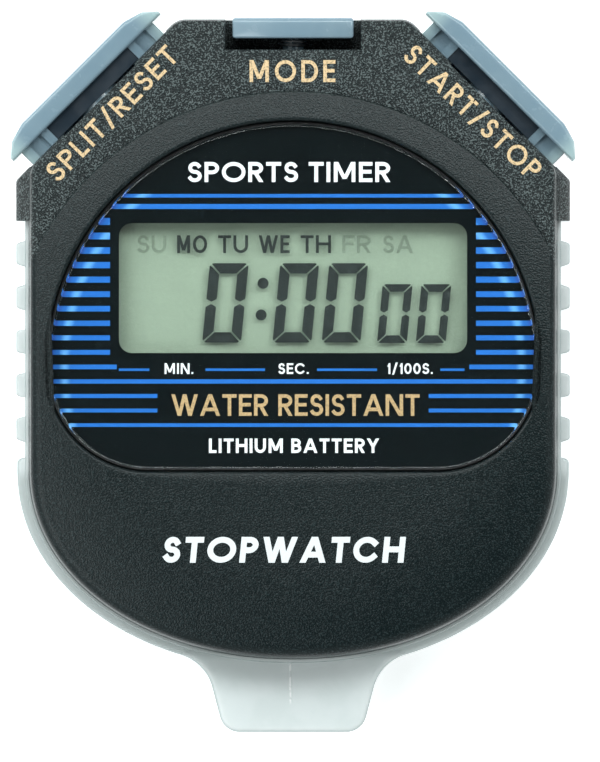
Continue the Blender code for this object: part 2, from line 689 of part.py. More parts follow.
def stem_rods():
    inner, outer = GROOVE
    return (rod("stem", STEM_RADIUS, (0, 1.6, 0), (0, outer, 0), 20),
            rod("groove", GROOVE_RADIUS, (0, outer + 0.1, 0), (0, inner - 0.1, 0), 16),
            rod("tip", STEM_RADIUS, (0, inner, 0), (0, STEM_END, 0), 20))


def corner_button():
    """A plate with slanted ends, over a tray with end walls, fins and a hub that hides the spring."""
    inside, tall = PLATE
    outer = [(-11.7, inside, 0), (11.7, inside, 0), (11.7, 2.1, 0.3), (10.3, 3.35, 0.8), (8.1, 4.0, 1.5)]
    edge = rounded(outer + [(-x, y, r) for x, y, r in reversed(outer[2:])])
    button = prism("corner_button", [edge], -tall, tall)
    join(button, block("tray", (-10.4, -0.5, -3.4), (10.4, inside + 0.1, -2.4)))
    for sign in (-1, 1):
        for near, far in FINS:
            x0, x1 = sorted((sign * near, sign * far))
            join(button, block("fin", (x0, -0.45, -3.2), (x1, inside + 0.15, 3.2)))
    join(button, rod("hub", HUB_RADIUS, (0, -0.6, 0), (0, 1.9, 0)))
    cut(button, rod("hub bore", HUB_BORE, (0, -1.5, 0), (0, 1.5, 0)))
    join(button, *stem_rods())
    return bake(button)


def mode_cap():
    """A plain cap with rounded long edges and the same hub bore and stem."""
    low, high = MODE_LEVELS
    edge = rounded([(-0.5, low, 0.1), (1.8, low, 0.5), (1.8, high, 0.5), (-0.5, high, 0.3)], 45)
    button = prism("mode_cap", [edge], -MODE_HALF, MODE_HALF, "X")
    cut(button, rod("hub bore", HUB_BORE, (0, -1.5, 0), (0, 1.1, 0)))
    stem = stem_rods()
    join(button, rod("stem root", STEM_RADIUS, (0, 1.4, 0), (0, -1.0, 0), 20), *stem[1:],
         rod("stem shaft", STEM_RADIUS - 0.01, (0, -0.9, 0), (0, GROOVE[1], 0), 20))
    bpy.data.objects.remove(stem[0], do_unlink=True)
    return bake(button)


def along_stem(obj):
    """Turns a shape made about Z so that it is about the stem, local Y."""
    obj.data.transform(Matrix.Rotation(math.radians(-90), 4, "X"))
    return obj


def clip_outline():
    opening = 35
    return (arc((0, 0), 2.6, opening - 90, 270 - opening, 18)
            + arc((0, 0), 0.98, 270 - opening, opening - 90, 14))


def buttons():
    corner = corner_button()
    for name, place in BUTTON_PLACES.items():
        is_mode = name == "mode"
        shape = mode_cap() if is_mode else bpy.data.objects.new(name, corner.data.copy())
        reach = 0.85 if is_mode else 1.25
        tab = STEM_END - TRAVEL - PART_GAP  # the pressed stem stops just short of the switch's tab
        bend = [(tab, -0.8), (tab, 1.7), (tab - SHEET, 1.7), (tab - SHEET, -0.6)]
        switch = [(-10.0, -0.8), *bend, (-10.0, -0.6)]
        pieces = (
            ("button", shape, BUTTON_GREY),
            ("spring", along_stem(coil("spring", *SPRING, POCKET_FLOOR + 0.4, reach, 3)), STEEL),
            ("seal", along_stem(torus("seal", *SEAL, (0, 0, WALL_INSIDE + 0.5))), RUBBER),
            ("clip", along_stem(prism("clip", [clip_outline()], -4.5, -4.05)), STEEL),
            ("switch", prism("switch", [switch], -2.2, 2.2, "X"), BRASS),
        )
        for role, obj, mat in pieces:
            finish(obj, mat, f"{name}_{role}").matrix_world = place
    bpy.data.objects.remove(corner, do_unlink=True)


front_shell()
rear_shell()
case_gasket()
display()
circuit_board()
buzzer()
battery()
hatch()
buttons()
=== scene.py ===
# %% [markdown]
# # A hand-held sports stopwatch, finished for a studio picture
#
# The stopwatch was designed as plain solids with real joints. This lesson dresses them: most of
# what shows is made again as a smooth surface worked out with numpy, in the place that the plain
# solid holds, and every piece gets a procedural finish. The watch lies on its back and is seen from
# straight above.
#
# Sizes here are millimetres. The mesh helper turns them into metres at the last moment.

# %% Load the frame
import json
import math

import bpy
import numpy as np
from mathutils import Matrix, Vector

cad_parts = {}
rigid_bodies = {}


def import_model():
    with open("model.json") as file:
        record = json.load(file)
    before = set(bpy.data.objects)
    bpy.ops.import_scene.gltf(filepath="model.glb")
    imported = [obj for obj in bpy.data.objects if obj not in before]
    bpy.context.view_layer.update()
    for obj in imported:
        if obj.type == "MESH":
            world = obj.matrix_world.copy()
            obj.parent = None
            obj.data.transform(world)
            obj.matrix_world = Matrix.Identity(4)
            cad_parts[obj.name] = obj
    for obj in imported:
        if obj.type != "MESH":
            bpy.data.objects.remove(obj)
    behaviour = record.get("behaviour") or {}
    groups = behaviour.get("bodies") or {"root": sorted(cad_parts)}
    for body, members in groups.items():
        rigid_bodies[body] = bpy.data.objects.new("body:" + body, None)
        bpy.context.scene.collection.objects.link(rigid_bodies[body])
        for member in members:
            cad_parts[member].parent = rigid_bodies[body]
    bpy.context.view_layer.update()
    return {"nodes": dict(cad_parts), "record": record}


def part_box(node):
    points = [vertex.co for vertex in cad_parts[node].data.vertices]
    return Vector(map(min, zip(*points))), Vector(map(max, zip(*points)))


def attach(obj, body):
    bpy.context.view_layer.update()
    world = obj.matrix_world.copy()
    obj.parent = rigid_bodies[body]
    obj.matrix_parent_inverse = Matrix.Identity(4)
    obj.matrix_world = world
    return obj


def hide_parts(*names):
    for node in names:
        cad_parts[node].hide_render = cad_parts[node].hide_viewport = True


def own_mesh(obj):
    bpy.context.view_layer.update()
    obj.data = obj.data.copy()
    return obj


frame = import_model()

MM = 0.001


def box_mm(node):
    """Lowest and highest corner of a piece of the frame, in millimetres."""
    low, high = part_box(node)
    return np.array(low) / MM, np.array(high) / MM


# %% [markdown]
# ## Driving sizes
#
# The frame's own boxes give the outer sizes. The values beside them are the few that a box can't
# tell: where a circle has its centre, how fast the dome falls, how wide a rounded edge is.

# %% Driving sizes
shell_high = box_mm("front_shell")[1]
rear_low, rear_high = box_mm("rear_shell")
lens_low, lens_high = box_mm("lens")
plate_high = box_mm("dial_plate")[1]

SHOULDER, TOP, CROWN = shell_high  # half width over the shoulders, top edge, highest point of the dome
SIDE = SHOULDER - 1.5  # half width of the black front
DIAGONAL = 52.6  # x + y along the cut corners
FOOT = 17.0  # the black shoulders end here, and the pale wall begins
SHOULDER_LEVEL = 12.4
SKIRT_FOOT = 6.0
BOTTOM = -10.98  # the lower end is a superellipse about this height
BOTTOM_POWER = 2.06
BOTTOM_SQUASH = 8.4  # its half height is this much less than its half width
RIM = rear_high[2]
RIM_TOP = 5.7  # the pale wall's lower rim, behind the buttons
GAP = 0.3
LABEL = 18.0  # level of the flat label area
DOME_MIDDLE = np.array([0.0, -0.75])
DOME_FLAT, DOME_FALL = 22.0, 110.0
RING = 32.08  # radius of the step between dome and label area
LEDGE = 16.6
CEILING = 15.8
TONGUE_FOOT = 3.6

LENS_INSET = 0.55
LENS_RADIUS = lens_high[0] + LENS_INSET
LENS_MIDDLE = np.array([0.0, lens_high[1] - lens_high[0]])
LENS_CORNER = 11.65
STEM = 11.3  # level of the button stems
print("case", 2 * SHOULDER, "wide,", round(TOP - rear_low[1], 2), "tall,", round(CROWN, 2), "thick")

# %% [markdown]
# ## Camera, floor and light
#
# The camera comes first, so that every later decision is seen through it. It looks straight down
# through a very long lens, which keeps the side walls from leaning outward. The floor is a large
# pale disc.
#
# A flat glossy window seen from above mirrors whatever hangs over it. Studios leave that place
# dark, so the world here is bright round the sides and dark overhead, and the dial stays black
# while edges still catch light.

# %% Camera
VIEW_HEIGHT = 85.34  # what the picture takes in from bottom to top, at the level of the label area
VIEW_MIDDLE = (0.78, -1.01)
FOCAL_LENGTH = 900.0
SENSOR = 36.0

camera_data = bpy.data.cameras.new("camera")
camera_data.lens = FOCAL_LENGTH
camera_data.sensor_width = SENSOR
distance = VIEW_HEIGHT * FOCAL_LENGTH / SENSOR
camera_data.clip_end = 10.0
camera = bpy.data.objects.new("camera", camera_data)
camera.location = (VIEW_MIDDLE[0] * MM, VIEW_MIDDLE[1] * MM, (LABEL + distance) * MM)
bpy.context.scene.collection.objects.link(camera)
bpy.context.scene.camera = camera
bpy.context.scene.view_settings.view_transform = "Standard"
print("camera", round(distance), "mm above the label area")

# %% World
SKY_SIDE, SKY_TOP = 0.66, 0.03  # brightness round the sides, and in the dark patch overhead
PATCH = (0.20, -0.20, 0.96)  # the patch's middle leans to the lower right, away from the key
PATCH_EDGE = (0.84, 0.935)  # cosines of the angles where it starts and is full
LAMP_COLOUR = (0.93, 1.0, 1.0)
RANGE_SOCKETS = ("From Min", "From Max", "To Min", "To Max")

world = bpy.data.worlds.new("studio")
bpy.context.scene.world = world
world.use_nodes = True
sky = world.node_tree
direction = sky.nodes.new("ShaderNodeTexCoord")
near_patch = sky.nodes.new("ShaderNodeVectorMath")
near_patch.operation = "DOT_PRODUCT"
near_patch.inputs[1].default_value = PATCH
rise = sky.nodes.new("ShaderNodeMapRange")
rise.interpolation_type = "SMOOTHSTEP"
for socket, value in zip(RANGE_SOCKETS, (*PATCH_EDGE, SKY_SIDE, SKY_TOP)):
    rise.inputs[socket].default_value = value
sky.links.new(direction.outputs["Generated"], near_patch.inputs[0])
sky.links.new(near_patch.outputs["Value"], rise.inputs["Value"])
sky.links.new(rise.outputs["Result"], sky.nodes["Background"].inputs["Strength"])
sky.nodes["Background"].inputs["Color"].default_value = (*LAMP_COLOUR, 1.0)
print("world: strength", SKY_SIDE, "round the sides,", SKY_TOP, "overhead")


# %% Lamps
def softbox(name, place, size, watts):
    """A rectangular area lamp that faces the middle of the watch."""
    lamp = bpy.data.lights.new(name, "AREA")
    lamp.shape = "RECTANGLE"
    lamp.size, lamp.size_y = size
    lamp.energy = watts
    lamp.color = LAMP_COLOUR
    holder = bpy.data.objects.new(name, lamp)
    holder.location = place
    away = holder.location.normalized()
    holder.rotation_mode = "QUATERNION"
    holder.rotation_quaternion = away.to_track_quat("Z", "Y")
    bpy.context.scene.collection.objects.link(holder)
    return holder


softbox("key", (-0.55, 0.50, 0.62), (0.45, 0.45), 2.0)
softbox("top light", (0.0, 0.40, 0.85), (1.0, 0.26), 3.6)
softbox("left light", (-0.48, -0.26, 0.78), (0.30, 0.6), 1.7)
softbox("rim strip", (0.45, 0.32, 0.75), (0.5, 0.03), 1.1)
print("lamps: key from the upper left, softboxes over the top and left edges, a thin strip for the lens edge")


# %% [markdown]
# ## From numbers to a mesh
#
# Almost every piece here is a grid of points: rows that follow each other across the shape, and
# columns that run round it. One helper names the faces between neighbouring points, and a second
# puts the result into Blender.
#
# A ring, such as the front shell, closes both ways. A solid piece closes round its columns, and its
# first and last rows are filled with one flat face each.

# %% Faces of a grid
def quads(rows, columns, wrap_rows=False):
    """The four-cornered faces of a grid of points stored row after row, whose columns close on
    themselves."""
    i = np.arange(rows if wrap_rows else rows - 1)[:, None]
    j = np.arange(columns)[None, :]
    next_i, next_j = (i + 1) % rows, (j + 1) % columns
    corners = [i * columns + j, i * columns + next_j, next_i * columns + next_j, next_i * columns + j]
    return np.stack(np.broadcast_arrays(*corners), -1).reshape(-1, 4).tolist()


print("a grid of 3 rows and 4 columns has", len(quads(3, 4)), "faces,",
      "or", len(quads(3, 4, True)), "as a ring")


# %% Closed shapes
def levelled(loop, level):
    """A flat loop of (x, y) with a height, one for all of it or one a point."""
    return np.column_stack([loop, np.broadcast_to(level, len(loop))])


def solid(rows):
    """Points and faces of a stack of loops, counter-clockwise and rising, closed by a flat face at
    each end."""
    rows = np.array(rows)
    count, columns = rows.shape[:2]
    ends = [list(range(columns))[::-1], list(range((count - 1) * columns, count * columns))]
    return rows.reshape(-1, 3), quads(count, columns) + ends


def ring(rows):
    """Points and faces of loops that lead back to the first one, as round a tube."""
    rows = np.array(rows)
    return rows.reshape(-1, 3), quads(len(rows), rows.shape[1], wrap_rows=True)


def together(*shapes):
    """Several shapes, each points and faces, as one."""
    points, faces = [], []
    for own_points, own_faces in shapes:
        start = sum(len(p) for p in points)
        faces += [[start + k for k in face] for face in own_faces]
        points.append(own_points)
    return np.vstack(points), faces


square = np.array([(0, 0), (1, 0), (1, 1), (0, 1)])
print("a square between two levels closes with",
      len(solid([levelled(square, 0), levelled(square, 1)])[1]), "faces")


# %% [markdown]
# ### Cutting and joining
#
# A pocket in a moulding is a shape taken away from another, which is what a Boolean modifier does.
# The exact solver is used, and the result is baked into a plain mesh at once, so that no modifier
# is left on a finished piece.

# %% Meshes and Booleans
def mesh_of(name, shape):
    """A Blender mesh, in metres, from points in millimetres and their faces."""
    points, faces = shape
    mesh = bpy.data.meshes.new(name)
    mesh.from_pydata((points * MM).tolist(), [], faces)
    return mesh


def boolean(mesh, operation, *shapes, merge_self=False):
    """What is left of a mesh after one exact Boolean with each shape."""
    scene = bpy.context.scene.collection.objects
    base = bpy.data.objects.new("base", mesh)
    scene.link(base)
    tools = [bpy.data.objects.new("tool", mesh_of("tool", shape)) for shape in shapes]
    for tool in tools:
        scene.link(tool)
        step = base.modifiers.new("step", "BOOLEAN")
        step.operation = operation
        step.solver = "EXACT"
        step.use_self = merge_self
        step.object = tool
    made = bpy.data.meshes.new_from_object(base.evaluated_get(bpy.context.evaluated_depsgraph_get()))
    for used in (base, *tools):
        bpy.data.objects.remove(used, do_unlink=True)
    return made


print("booleans: exact, baked at once")


# %% Adding a piece to the model
def put(name, shape, material, body="case", stands_for=(), sharp=30.0):
    """Adds a finished piece, made of points and faces or already a mesh, that rides on a body of
    the frame."""
    mesh = shape if isinstance(shape, bpy.types.Mesh) else mesh_of(name, shape)
    mesh.name = name
    mesh.materials.clear()
    mesh.materials.append(material)
    mesh.shade_smooth()
    mesh.set_sharp_from_angle(angle=math.radians(sharp))
    piece = bpy.data.objects.new(name, mesh)
    bpy.context.scene.collection.objects.link(piece)
    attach(piece, body)
    if stands_for:
        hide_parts(*stands_for)
    print(f"{name}: {len(mesh.polygons)} faces on {body}")
    return piece


print("pieces are added smooth, with edges sharper than 30 degrees kept crisp unless they say otherwise")


# %% [markdown]
# ## Outlines
#
# Seen from the front, the case is a rounded shape with two cut corners. The outline is drawn with
# the same number of points whatever its size, so an inner outline and an outer one can be joined
# point to point.

# %% Lines, arcs and rounded corners
def run(start, end, count):
    """Evenly spaced points from start towards end, without the end itself."""
    return np.linspace(start, end, count, endpoint=False)


def arc(middle, radius, start, end, count):
    """Points on a circle, or on an ellipse when radius is a pair, between two angles in degrees."""
    angles = np.radians(np.linspace(start, end, count))
    return middle + np.column_stack([np.cos(angles), np.sin(angles)]) * radius


def corner(at, before, after, radius, count=8):
    """The arc that rounds a corner. Its centre lies radius / sin(half) from the corner, on the line
    that halves the corner, where half is half the angle there."""
    at, before, after = (np.array(p, float) for p in (at, before, after))
    back = (before - at) / np.linalg.norm(before - at)
    on = (after - at) / np.linalg.norm(after - at)
    half = math.acos(np.clip(back @ on, -1, 1)) / 2
    middle = at + (back + on) / np.linalg.norm(back + on) * radius / math.sin(half)
    start, end = (at + side * radius / math.tan(half) - middle for side in (back, on))
    first = math.atan2(start[1], start[0])
    turn = (math.atan2(end[1], end[0]) - first + math.pi) % (2 * math.pi) - math.pi
    return arc(middle, radius, math.degrees(first), math.degrees(first + turn), count)


def rounded(corners, count=8):
    """A closed loop through (x, y, radius) corners, each rounded."""
    spots = [np.array(c[:2]) for c in corners]
    turns = [corner(spots[k], spots[k - 1], spots[(k + 1) % len(spots)], corners[k][2], count)
             for k in range(len(spots))]
    return np.vstack(turns)


print("a right angle rounded by 2 mm starts",
      corner((0, 0), (0, 9), (9, 0), 2)[0].round(2)[1], "mm from its corner")


# %% Moving an outline inward
def inset(loop, amount):
    """Moves every edge of a counter-clockwise loop inward: a point goes along (n1 + n2) / (1 + n1.n2),
    where n1 and n2 are the inward normals of its two edges."""
    edge = np.roll(loop, -1, 0) - loop
    edge = edge / np.linalg.norm(edge, axis=1)[:, None]
    after = np.column_stack([-edge[:, 1], edge[:, 0]])
    before = np.roll(after, 1, 0)
    way = (after + before) / (1 + np.sum(after * before, 1))[:, None]
    return loop + way * np.broadcast_to(amount, len(loop))[:, None]


def smooth(t):
    """Rises from 0 to 1 as t does, level at both ends: t^2 (3 - 2t)."""
    t = np.clip(t, 0, 1)
    return t * t * (3 - 2 * t)


print("a 10 mm square drawn in by 1 mm measures", np.ptp(inset(10.0 * square, 1.0), 0), "mm")


# %% [markdown]
# ### Case and lens outlines
#
# The lower end of the case is fuller than an ellipse, so it is a superellipse, whose power says how
# square its shoulders are. The lens opening is half a circle over two rounded corners.

# %% Case outline
SIDE_STEPS = 200
KNEE_ROUND, PEAK_ROUND = 2.5, 2.2


def lower_end(side, count=170):
    """From the left end round to the right: |x / a|^p + |y / b|^p = 1 below the centre, without its
    two ends."""
    angles = np.linspace(math.pi, 2 * math.pi, count + 2)[1:-1]
    power = 2 / BOTTOM_POWER
    across = side * np.sign(np.cos(angles)) * np.abs(np.cos(angles)) ** power
    down = (side - BOTTOM_SQUASH) * np.abs(np.sin(angles)) ** power
    return np.column_stack([across, BOTTOM - down])


def case_loop(side, shoulder=None, diagonal=DIAGONAL, top=TOP, knee_round=KNEE_ROUND):
    """Up the right side, over the cut corners, down the left side and round the lower end."""
    shoulder = shoulder or side
    knee, peak = (shoulder, diagonal - shoulder), (diagonal - top, top)
    knee_arc = corner(knee, (shoulder, 0), peak, knee_round, 8)
    peak_arc = corner(peak, knee, (0, top), PEAK_ROUND, 9)
    right = np.vstack([run((side, BOTTOM), (side, FOOT - 0.01), SIDE_STEPS), [(side, FOOT - 0.01)],
                       run((shoulder, FOOT + 0.01), knee_arc[0], 12), knee_arc,
                       run(knee_arc[-1], peak_arc[0], 48)[1:], peak_arc,
                       run(peak_arc[-1], (0, top), 26)[1:]])
    left = right[::-1] * (-1, 1)
    return np.vstack([right, [(0, top)], left, lower_end(side)])


print("case outline:", len(case_loop(SIDE)), "points,", round(2 * SIDE, 2), "mm wide")


# %% Lens outline
def lens_loop(grow=0.0):
    """The lens opening: half a circle above, rounded corners and a straight edge below, grown by an
    amount."""
    across = LENS_RADIUS - LENS_CORNER
    bottom = LENS_MIDDLE[1]
    low = bottom - LENS_CORNER - grow
    return np.vstack([arc(LENS_MIDDLE, LENS_RADIUS + grow, 0, 180, 121),
                      arc((-across, bottom), LENS_CORNER + grow, 180, 270, 41)[1:],
                      run((-across, low), (across, low), 40)[1:],
                      arc((across, bottom), LENS_CORNER + grow, 270, 360, 41)[:-1]])


def reach(angles, loop, middle):
    """How far a loop lies from a middle point in each direction."""
    dx, dy = (loop - middle).T
    return np.interp(angles, np.arctan2(dy, dx), np.hypot(dx, dy), period=2 * np.pi)


def ray_points(middle, angles, distance):
    """The points at a distance from a middle point in each direction."""
    return middle + np.column_stack([np.cos(angles) * distance, np.sin(angles) * distance])


print("lens outline:", len(lens_loop()), "points,", round(2 * LENS_RADIUS, 2), "mm wide")


# %% [markdown]
# ## Finishes
#
# A moulded surface is never one flat colour. Each finish starts from one shader whose constants sit
# on its own sockets, and adds noise in Object coordinates: a fine bump for the grain, a slow change
# of roughness, and a slight change of colour. Sizes are given as millimetres on the real surface,
# because that is how a grain is specified on a mould drawing.

# %% The finish builder
class Finish:
    """A material under construction: its shader, and the nodes that feed it."""

    def __init__(self, name, colour, roughness, **constants):
        self.material = bpy.data.materials.new(name)
        self.material.use_nodes = True
        self.nodes, self.links = self.material.node_tree.nodes, self.material.node_tree.links
        self.shader = self.nodes["Principled BSDF"]
        self.colour = (*colour, 1.0)
        self.shader.inputs["Base Color"].default_value = self.colour
        self.shader.inputs["Roughness"].default_value = roughness
        self.material.diffuse_color = self.colour
        for socket, value in constants.items():
            self.shader.inputs[socket.replace("_", " ")].default_value = value
        coordinates = self.nodes.new("ShaderNodeTexCoord")
        self.place, self.facing = coordinates.outputs["Object"], coordinates.outputs["Normal"]
        self.normal = None

    def math(self, operation, first, second=None):
        """One step of arithmetic on numbers or on other nodes' outputs."""
        node = self.nodes.new("ShaderNodeMath")
        node.operation = operation
        for socket, value in zip(node.inputs, (first, second)):
            if isinstance(value, bpy.types.NodeSocket):
                self.links.new(value, socket)
            elif value is not None:
                socket.default_value = value
        return node.outputs[0]

    def product(self, first, *others):
        """All the values multiplied."""
        for other in others:
            first = self.math("MULTIPLY", first, other)
        return first

    def length(self, x, y):
        """The length of (x, y): sqrt(x^2 + y^2)."""
        return self.math("SQRT", self.math("ADD", self.product(x, x), self.product(y, y)))

    def axis(self, letter, vector=None):
        """One coordinate of the place on the piece, or of another vector."""
        node = self.nodes.new("ShaderNodeSeparateXYZ")
        self.links.new(vector or self.place, node.inputs[0])
        return node.outputs[letter]

    def between(self, value, low, high, from_value, to_value):
        """The value's run from low to high, stretched smoothly to another run."""
        node = self.nodes.new("ShaderNodeMapRange")
        node.interpolation_type = "SMOOTHSTEP"
        self.links.new(value, node.inputs["Value"])
        for socket, number in zip(RANGE_SOCKETS, (low, high, from_value, to_value)):
            node.inputs[socket].default_value = number
        return node.outputs["Result"]

    def noise(self, size, detail=2.0):
        """Soft random cells about size millimetres across."""
        node = self.nodes.new("ShaderNodeTexNoise")
        node.inputs["Scale"].default_value = 1 / (size * MM)
        node.inputs["Detail"].default_value = detail
        self.links.new(self.place, node.inputs["Vector"])
        return node.outputs["Fac"]

    def bump(self, height, depth):
        """Raises the surface by up to depth millimetres where height is 1, on top of any bump
        before it."""
        node = self.nodes.new("ShaderNodeBump")
        node.inputs["Distance"].default_value = depth * MM
        node.inputs["Strength"].default_value = 1.0
        self.links.new(height, node.inputs["Height"])
        if self.normal:
            self.links.new(self.normal, node.inputs["Normal"])
        self.normal = node.outputs["Normal"]
        self.links.new(self.normal, self.shader.inputs["Normal"])
        return self

    def rough(self, value, low, high):
        """Roughness that follows a value between two limits."""
        self.links.new(self.between(value, 0.3, 0.7, low, high), self.shader.inputs["Roughness"])
        return self

    def tint(self, value, other):
        """Moves the colour towards another where the value is 1."""
        node = self.nodes.new("ShaderNodeMix")
        node.data_type = "RGBA"
        self.links.new(value, node.inputs["Factor"])
        colour = self.shader.inputs["Base Color"]
        if colour.is_linked:
            self.links.new(colour.links[0].from_socket, node.inputs["A"])
        else:
            node.inputs["A"].default_value = self.colour
        node.inputs["B"].default_value = (*other, 1.0)
        self.links.new(node.outputs["Result"], colour)
        return self

    def see_through_to_lamps(self, colour=(1.0, 1.0, 1.0)):
        """Lets lamp light through a clear piece in a straight line, so that what lies under it is
        lit."""
        path = self.nodes.new("ShaderNodeLightPath")
        clear = self.nodes.new("ShaderNodeBsdfTransparent")
        clear.inputs["Color"].default_value = (*colour, 1.0)
        mix = self.nodes.new("ShaderNodeMixShader")
        self.links.new(path.outputs["Is Shadow Ray"], mix.inputs["Fac"])
        self.links.new(self.shader.outputs["BSDF"], mix.inputs[1])
        self.links.new(clear.outputs["BSDF"], mix.inputs[2])
        self.links.new(mix.outputs["Shader"], self.nodes["Material Output"].inputs["Surface"])
        return self


print("finishes are built from:", ", ".join(name for name in vars(Finish) if not name.startswith("_")))


# %% [markdown]
# ### Black case plastic
#
# The mould of the front was textured twice: a coarse spark-eroded grain on the label area outside
# the ring, and a finer one on the dome. A mask worked out from the distance to the dome's axis
# picks between two noises, so one material covers the whole moulding as on the real one.

# %% Black case plastic
COARSE_GRAIN, FINE_GRAIN = 0.19, 0.18  # how wide the grains are
COARSE_DEPTH, FINE_DEPTH = 0.16, 0.05


def black_plastic():
    """Nearly black, with a painted highlight on the grain tops: coarse outside the ring and above the
    middle, fine elsewhere."""
    finish = Finish("black textured plastic", (0.002, 0.007, 0.008), 0.3, Specular_IOR_Level=0.33)
    y = finish.math("SUBTRACT", finish.axis("Y"), DOME_MIDDLE[1] * MM)
    radius = finish.length(finish.axis("X"), y)
    outside = finish.product(finish.math("GREATER_THAN", radius, RING * MM),
                             finish.between(y, 2 * MM, 8 * MM, 0.0, 1.0))
    inside = finish.math("SUBTRACT", 1.0, outside)
    coarse, fine = finish.noise(COARSE_GRAIN, 1.0), finish.noise(FINE_GRAIN, 1.0)
    finish.bump(finish.product(coarse, outside), COARSE_DEPTH)
    finish.bump(finish.product(fine, inside), FINE_DEPTH)
    finish.rough(finish.noise(2.5), 0.29, 0.32)
    # painted highlight: the tops of the grain are tinted paler, standing in for the light the grain catches
    coarse_glints = finish.between(coarse, 0.53, 0.60, 0.0, 1.0)
    fine_glints = finish.between(fine, 0.52, 0.64, 0.0, 0.8)
    finish.tint(finish.product(coarse_glints, outside), (0.10, 0.125, 0.125))
    finish.tint(finish.product(fine_glints, inside), (0.018, 0.030, 0.032))
    return finish.material


BLACK = black_plastic()
print("finish:", BLACK.name)


# %% [markdown]
# ### Milky case plastic
#
# The back is an unpigmented plastic that scatters light inside. Subsurface scattering with a reach
# of a few millimetres gives thin walls their glow. Faces that turn away from the front get painted
# shade, a deeper tone standing in for the light they miss. The front of the lower band is darker
# too. The lug carries the mould's weld line, a thin pale ridge down its middle. Masks made from
# the place and the facing keep each of these where it belongs.

# %% Milky plastic
WELD_MIDDLE = -0.3
WELD_HALF = (0.05, 0.16)  # the ridge is full up to the first and gone at the second


def milky_plastic():
    """Milky base, cloudy tone, painted shade on the sides, a darker band rim, and the weld line."""
    finish = Finish("milky plastic", (0.70, 0.74, 0.735), 0.34, Subsurface_Weight=0.5,
                    Subsurface_Scale=0.003, Subsurface_Radius=(1.0, 1.0, 1.0), Specular_IOR_Level=0.2)
    y, upward = finish.axis("Y"), finish.axis("Z", finish.facing)
    finish.tint(finish.between(finish.noise(3.5, 3.0), 0.4, 0.62, 0.0, 0.5), (0.77, 0.80, 0.80))
    # painted shade: faces that turn away from the front are tinted deeper, standing in for the light they
    # miss
    sides = finish.between(finish.math("ABSOLUTE", upward), 0.30, 0.98, 0.92, 0.0)
    finish.tint(sides, (0.34, 0.40, 0.40))
    front = finish.between(upward, 0.15, 0.5, 0.0, 1.0)
    # the front of the lower band is tinted darker
    band = finish.product(finish.between(y, -12.5 * MM, -10.5 * MM, 0.75, 0.0),
                          finish.between(y, -32.6 * MM, -31.2 * MM, 0.0, 1.0), front)
    finish.tint(band, (0.42, 0.455, 0.45))
    off_middle = finish.math("ABSOLUTE", finish.math("SUBTRACT", finish.axis("X"), WELD_MIDDLE * MM))
    weld = finish.product(finish.between(off_middle, WELD_HALF[0] * MM, WELD_HALF[1] * MM, 1.0, 0.0),
                          finish.between(y, -37.6 * MM, -36.8 * MM, 0.0, 1.0),
                          finish.between(y, -32.9 * MM, -32.3 * MM, 1.0, 0.0), front)
    broken = finish.between(finish.noise(0.5, 2.0), 0.42, 0.58, 0.1, 1.0)
    finish.tint(finish.product(weld, broken), (1.0, 1.0, 1.0))
    finish.rough(finish.noise(1.8), 0.28, 0.42)
    finish.bump(finish.noise(0.5), 0.012)
    finish.bump(weld, 0.05)
    return finish.material


MILKY = milky_plastic()
print("finish:", MILKY.name)


# %% [markdown]
# ### Button plastic
#
# The buttons are a blue-grey plastic, glossier than the case and a little translucent. The corner
# buttons are painted paler at each end, a painted glow standing in for light that shines through
# them there. A clear coat over a softer base gives that gloss, and the distance from the middle of
# each corner button says where its pale ends are.

# %% Button plastic
TIP_MIDDLE = (24.0, 32.8)  # the middle of the right corner button's plate, mirrored for the left one
TIP_START, TIP_FULL = 8.6, 11.0


def button_plastic():
    """Blue-grey with cloudy tone, and a painted glow of light shining through, paler from TIP_START to
    TIP_FULL away from a corner button's middle."""
    finish = Finish("grey button plastic", (0.22, 0.32, 0.39), 0.3, Subsurface_Weight=0.25,
                    Subsurface_Scale=0.002, Subsurface_Radius=(1.0, 1.0, 1.0),
                    Coat_Weight=0.5, Coat_Roughness=0.08)
    finish.tint(finish.between(finish.noise(5.0), 0.35, 0.65, 0.0, 0.35), (0.28, 0.38, 0.44))
    aside = finish.math("ABSOLUTE", finish.axis("X"))
    off = finish.length(finish.math("SUBTRACT", aside, TIP_MIDDLE[0] * MM),
                        finish.math("SUBTRACT", finish.axis("Y"), TIP_MIDDLE[1] * MM))
    # painted glow: the ends of the corner buttons are tinted paler, standing in for light that shines through
    # them
    tip_glow = finish.product(finish.between(off, TIP_START * MM, TIP_FULL * MM, 0.0, 0.75),
                          finish.math("GREATER_THAN", aside, 10 * MM))
    finish.tint(tip_glow, (0.46, 0.60, 0.60))
    finish.rough(finish.noise(1.2), 0.16, 0.28)
    return finish.bump(finish.noise(0.6), 0.01).material


BUTTON = button_plastic()
print("finish:", BUTTON.name)


# %% [markdown]
# ### Inks and small parts
#
# Ink printed on a grained surface is broken where the film is thin, so it gets a darker speckle.
# The small parts inside are seen only through gaps, and share one recipe: a slow change of tone,
# some change of gloss and a fine bump.

# %% Inks and small parts
INK_SPECKLE = 0.24


def ink(name, colour, wear):
    """Nearly flat colour, darkened by up to wear where the film of ink is thin."""
    finish = Finish(name, colour, 0.42)
    speckle = finish.between(finish.noise(INK_SPECKLE, 2.0), 0.48, 0.62, 0.0, wear)
    finish.tint(speckle, tuple(0.55 * c for c in colour))
    return finish.bump(finish.noise(0.25), 0.02).material


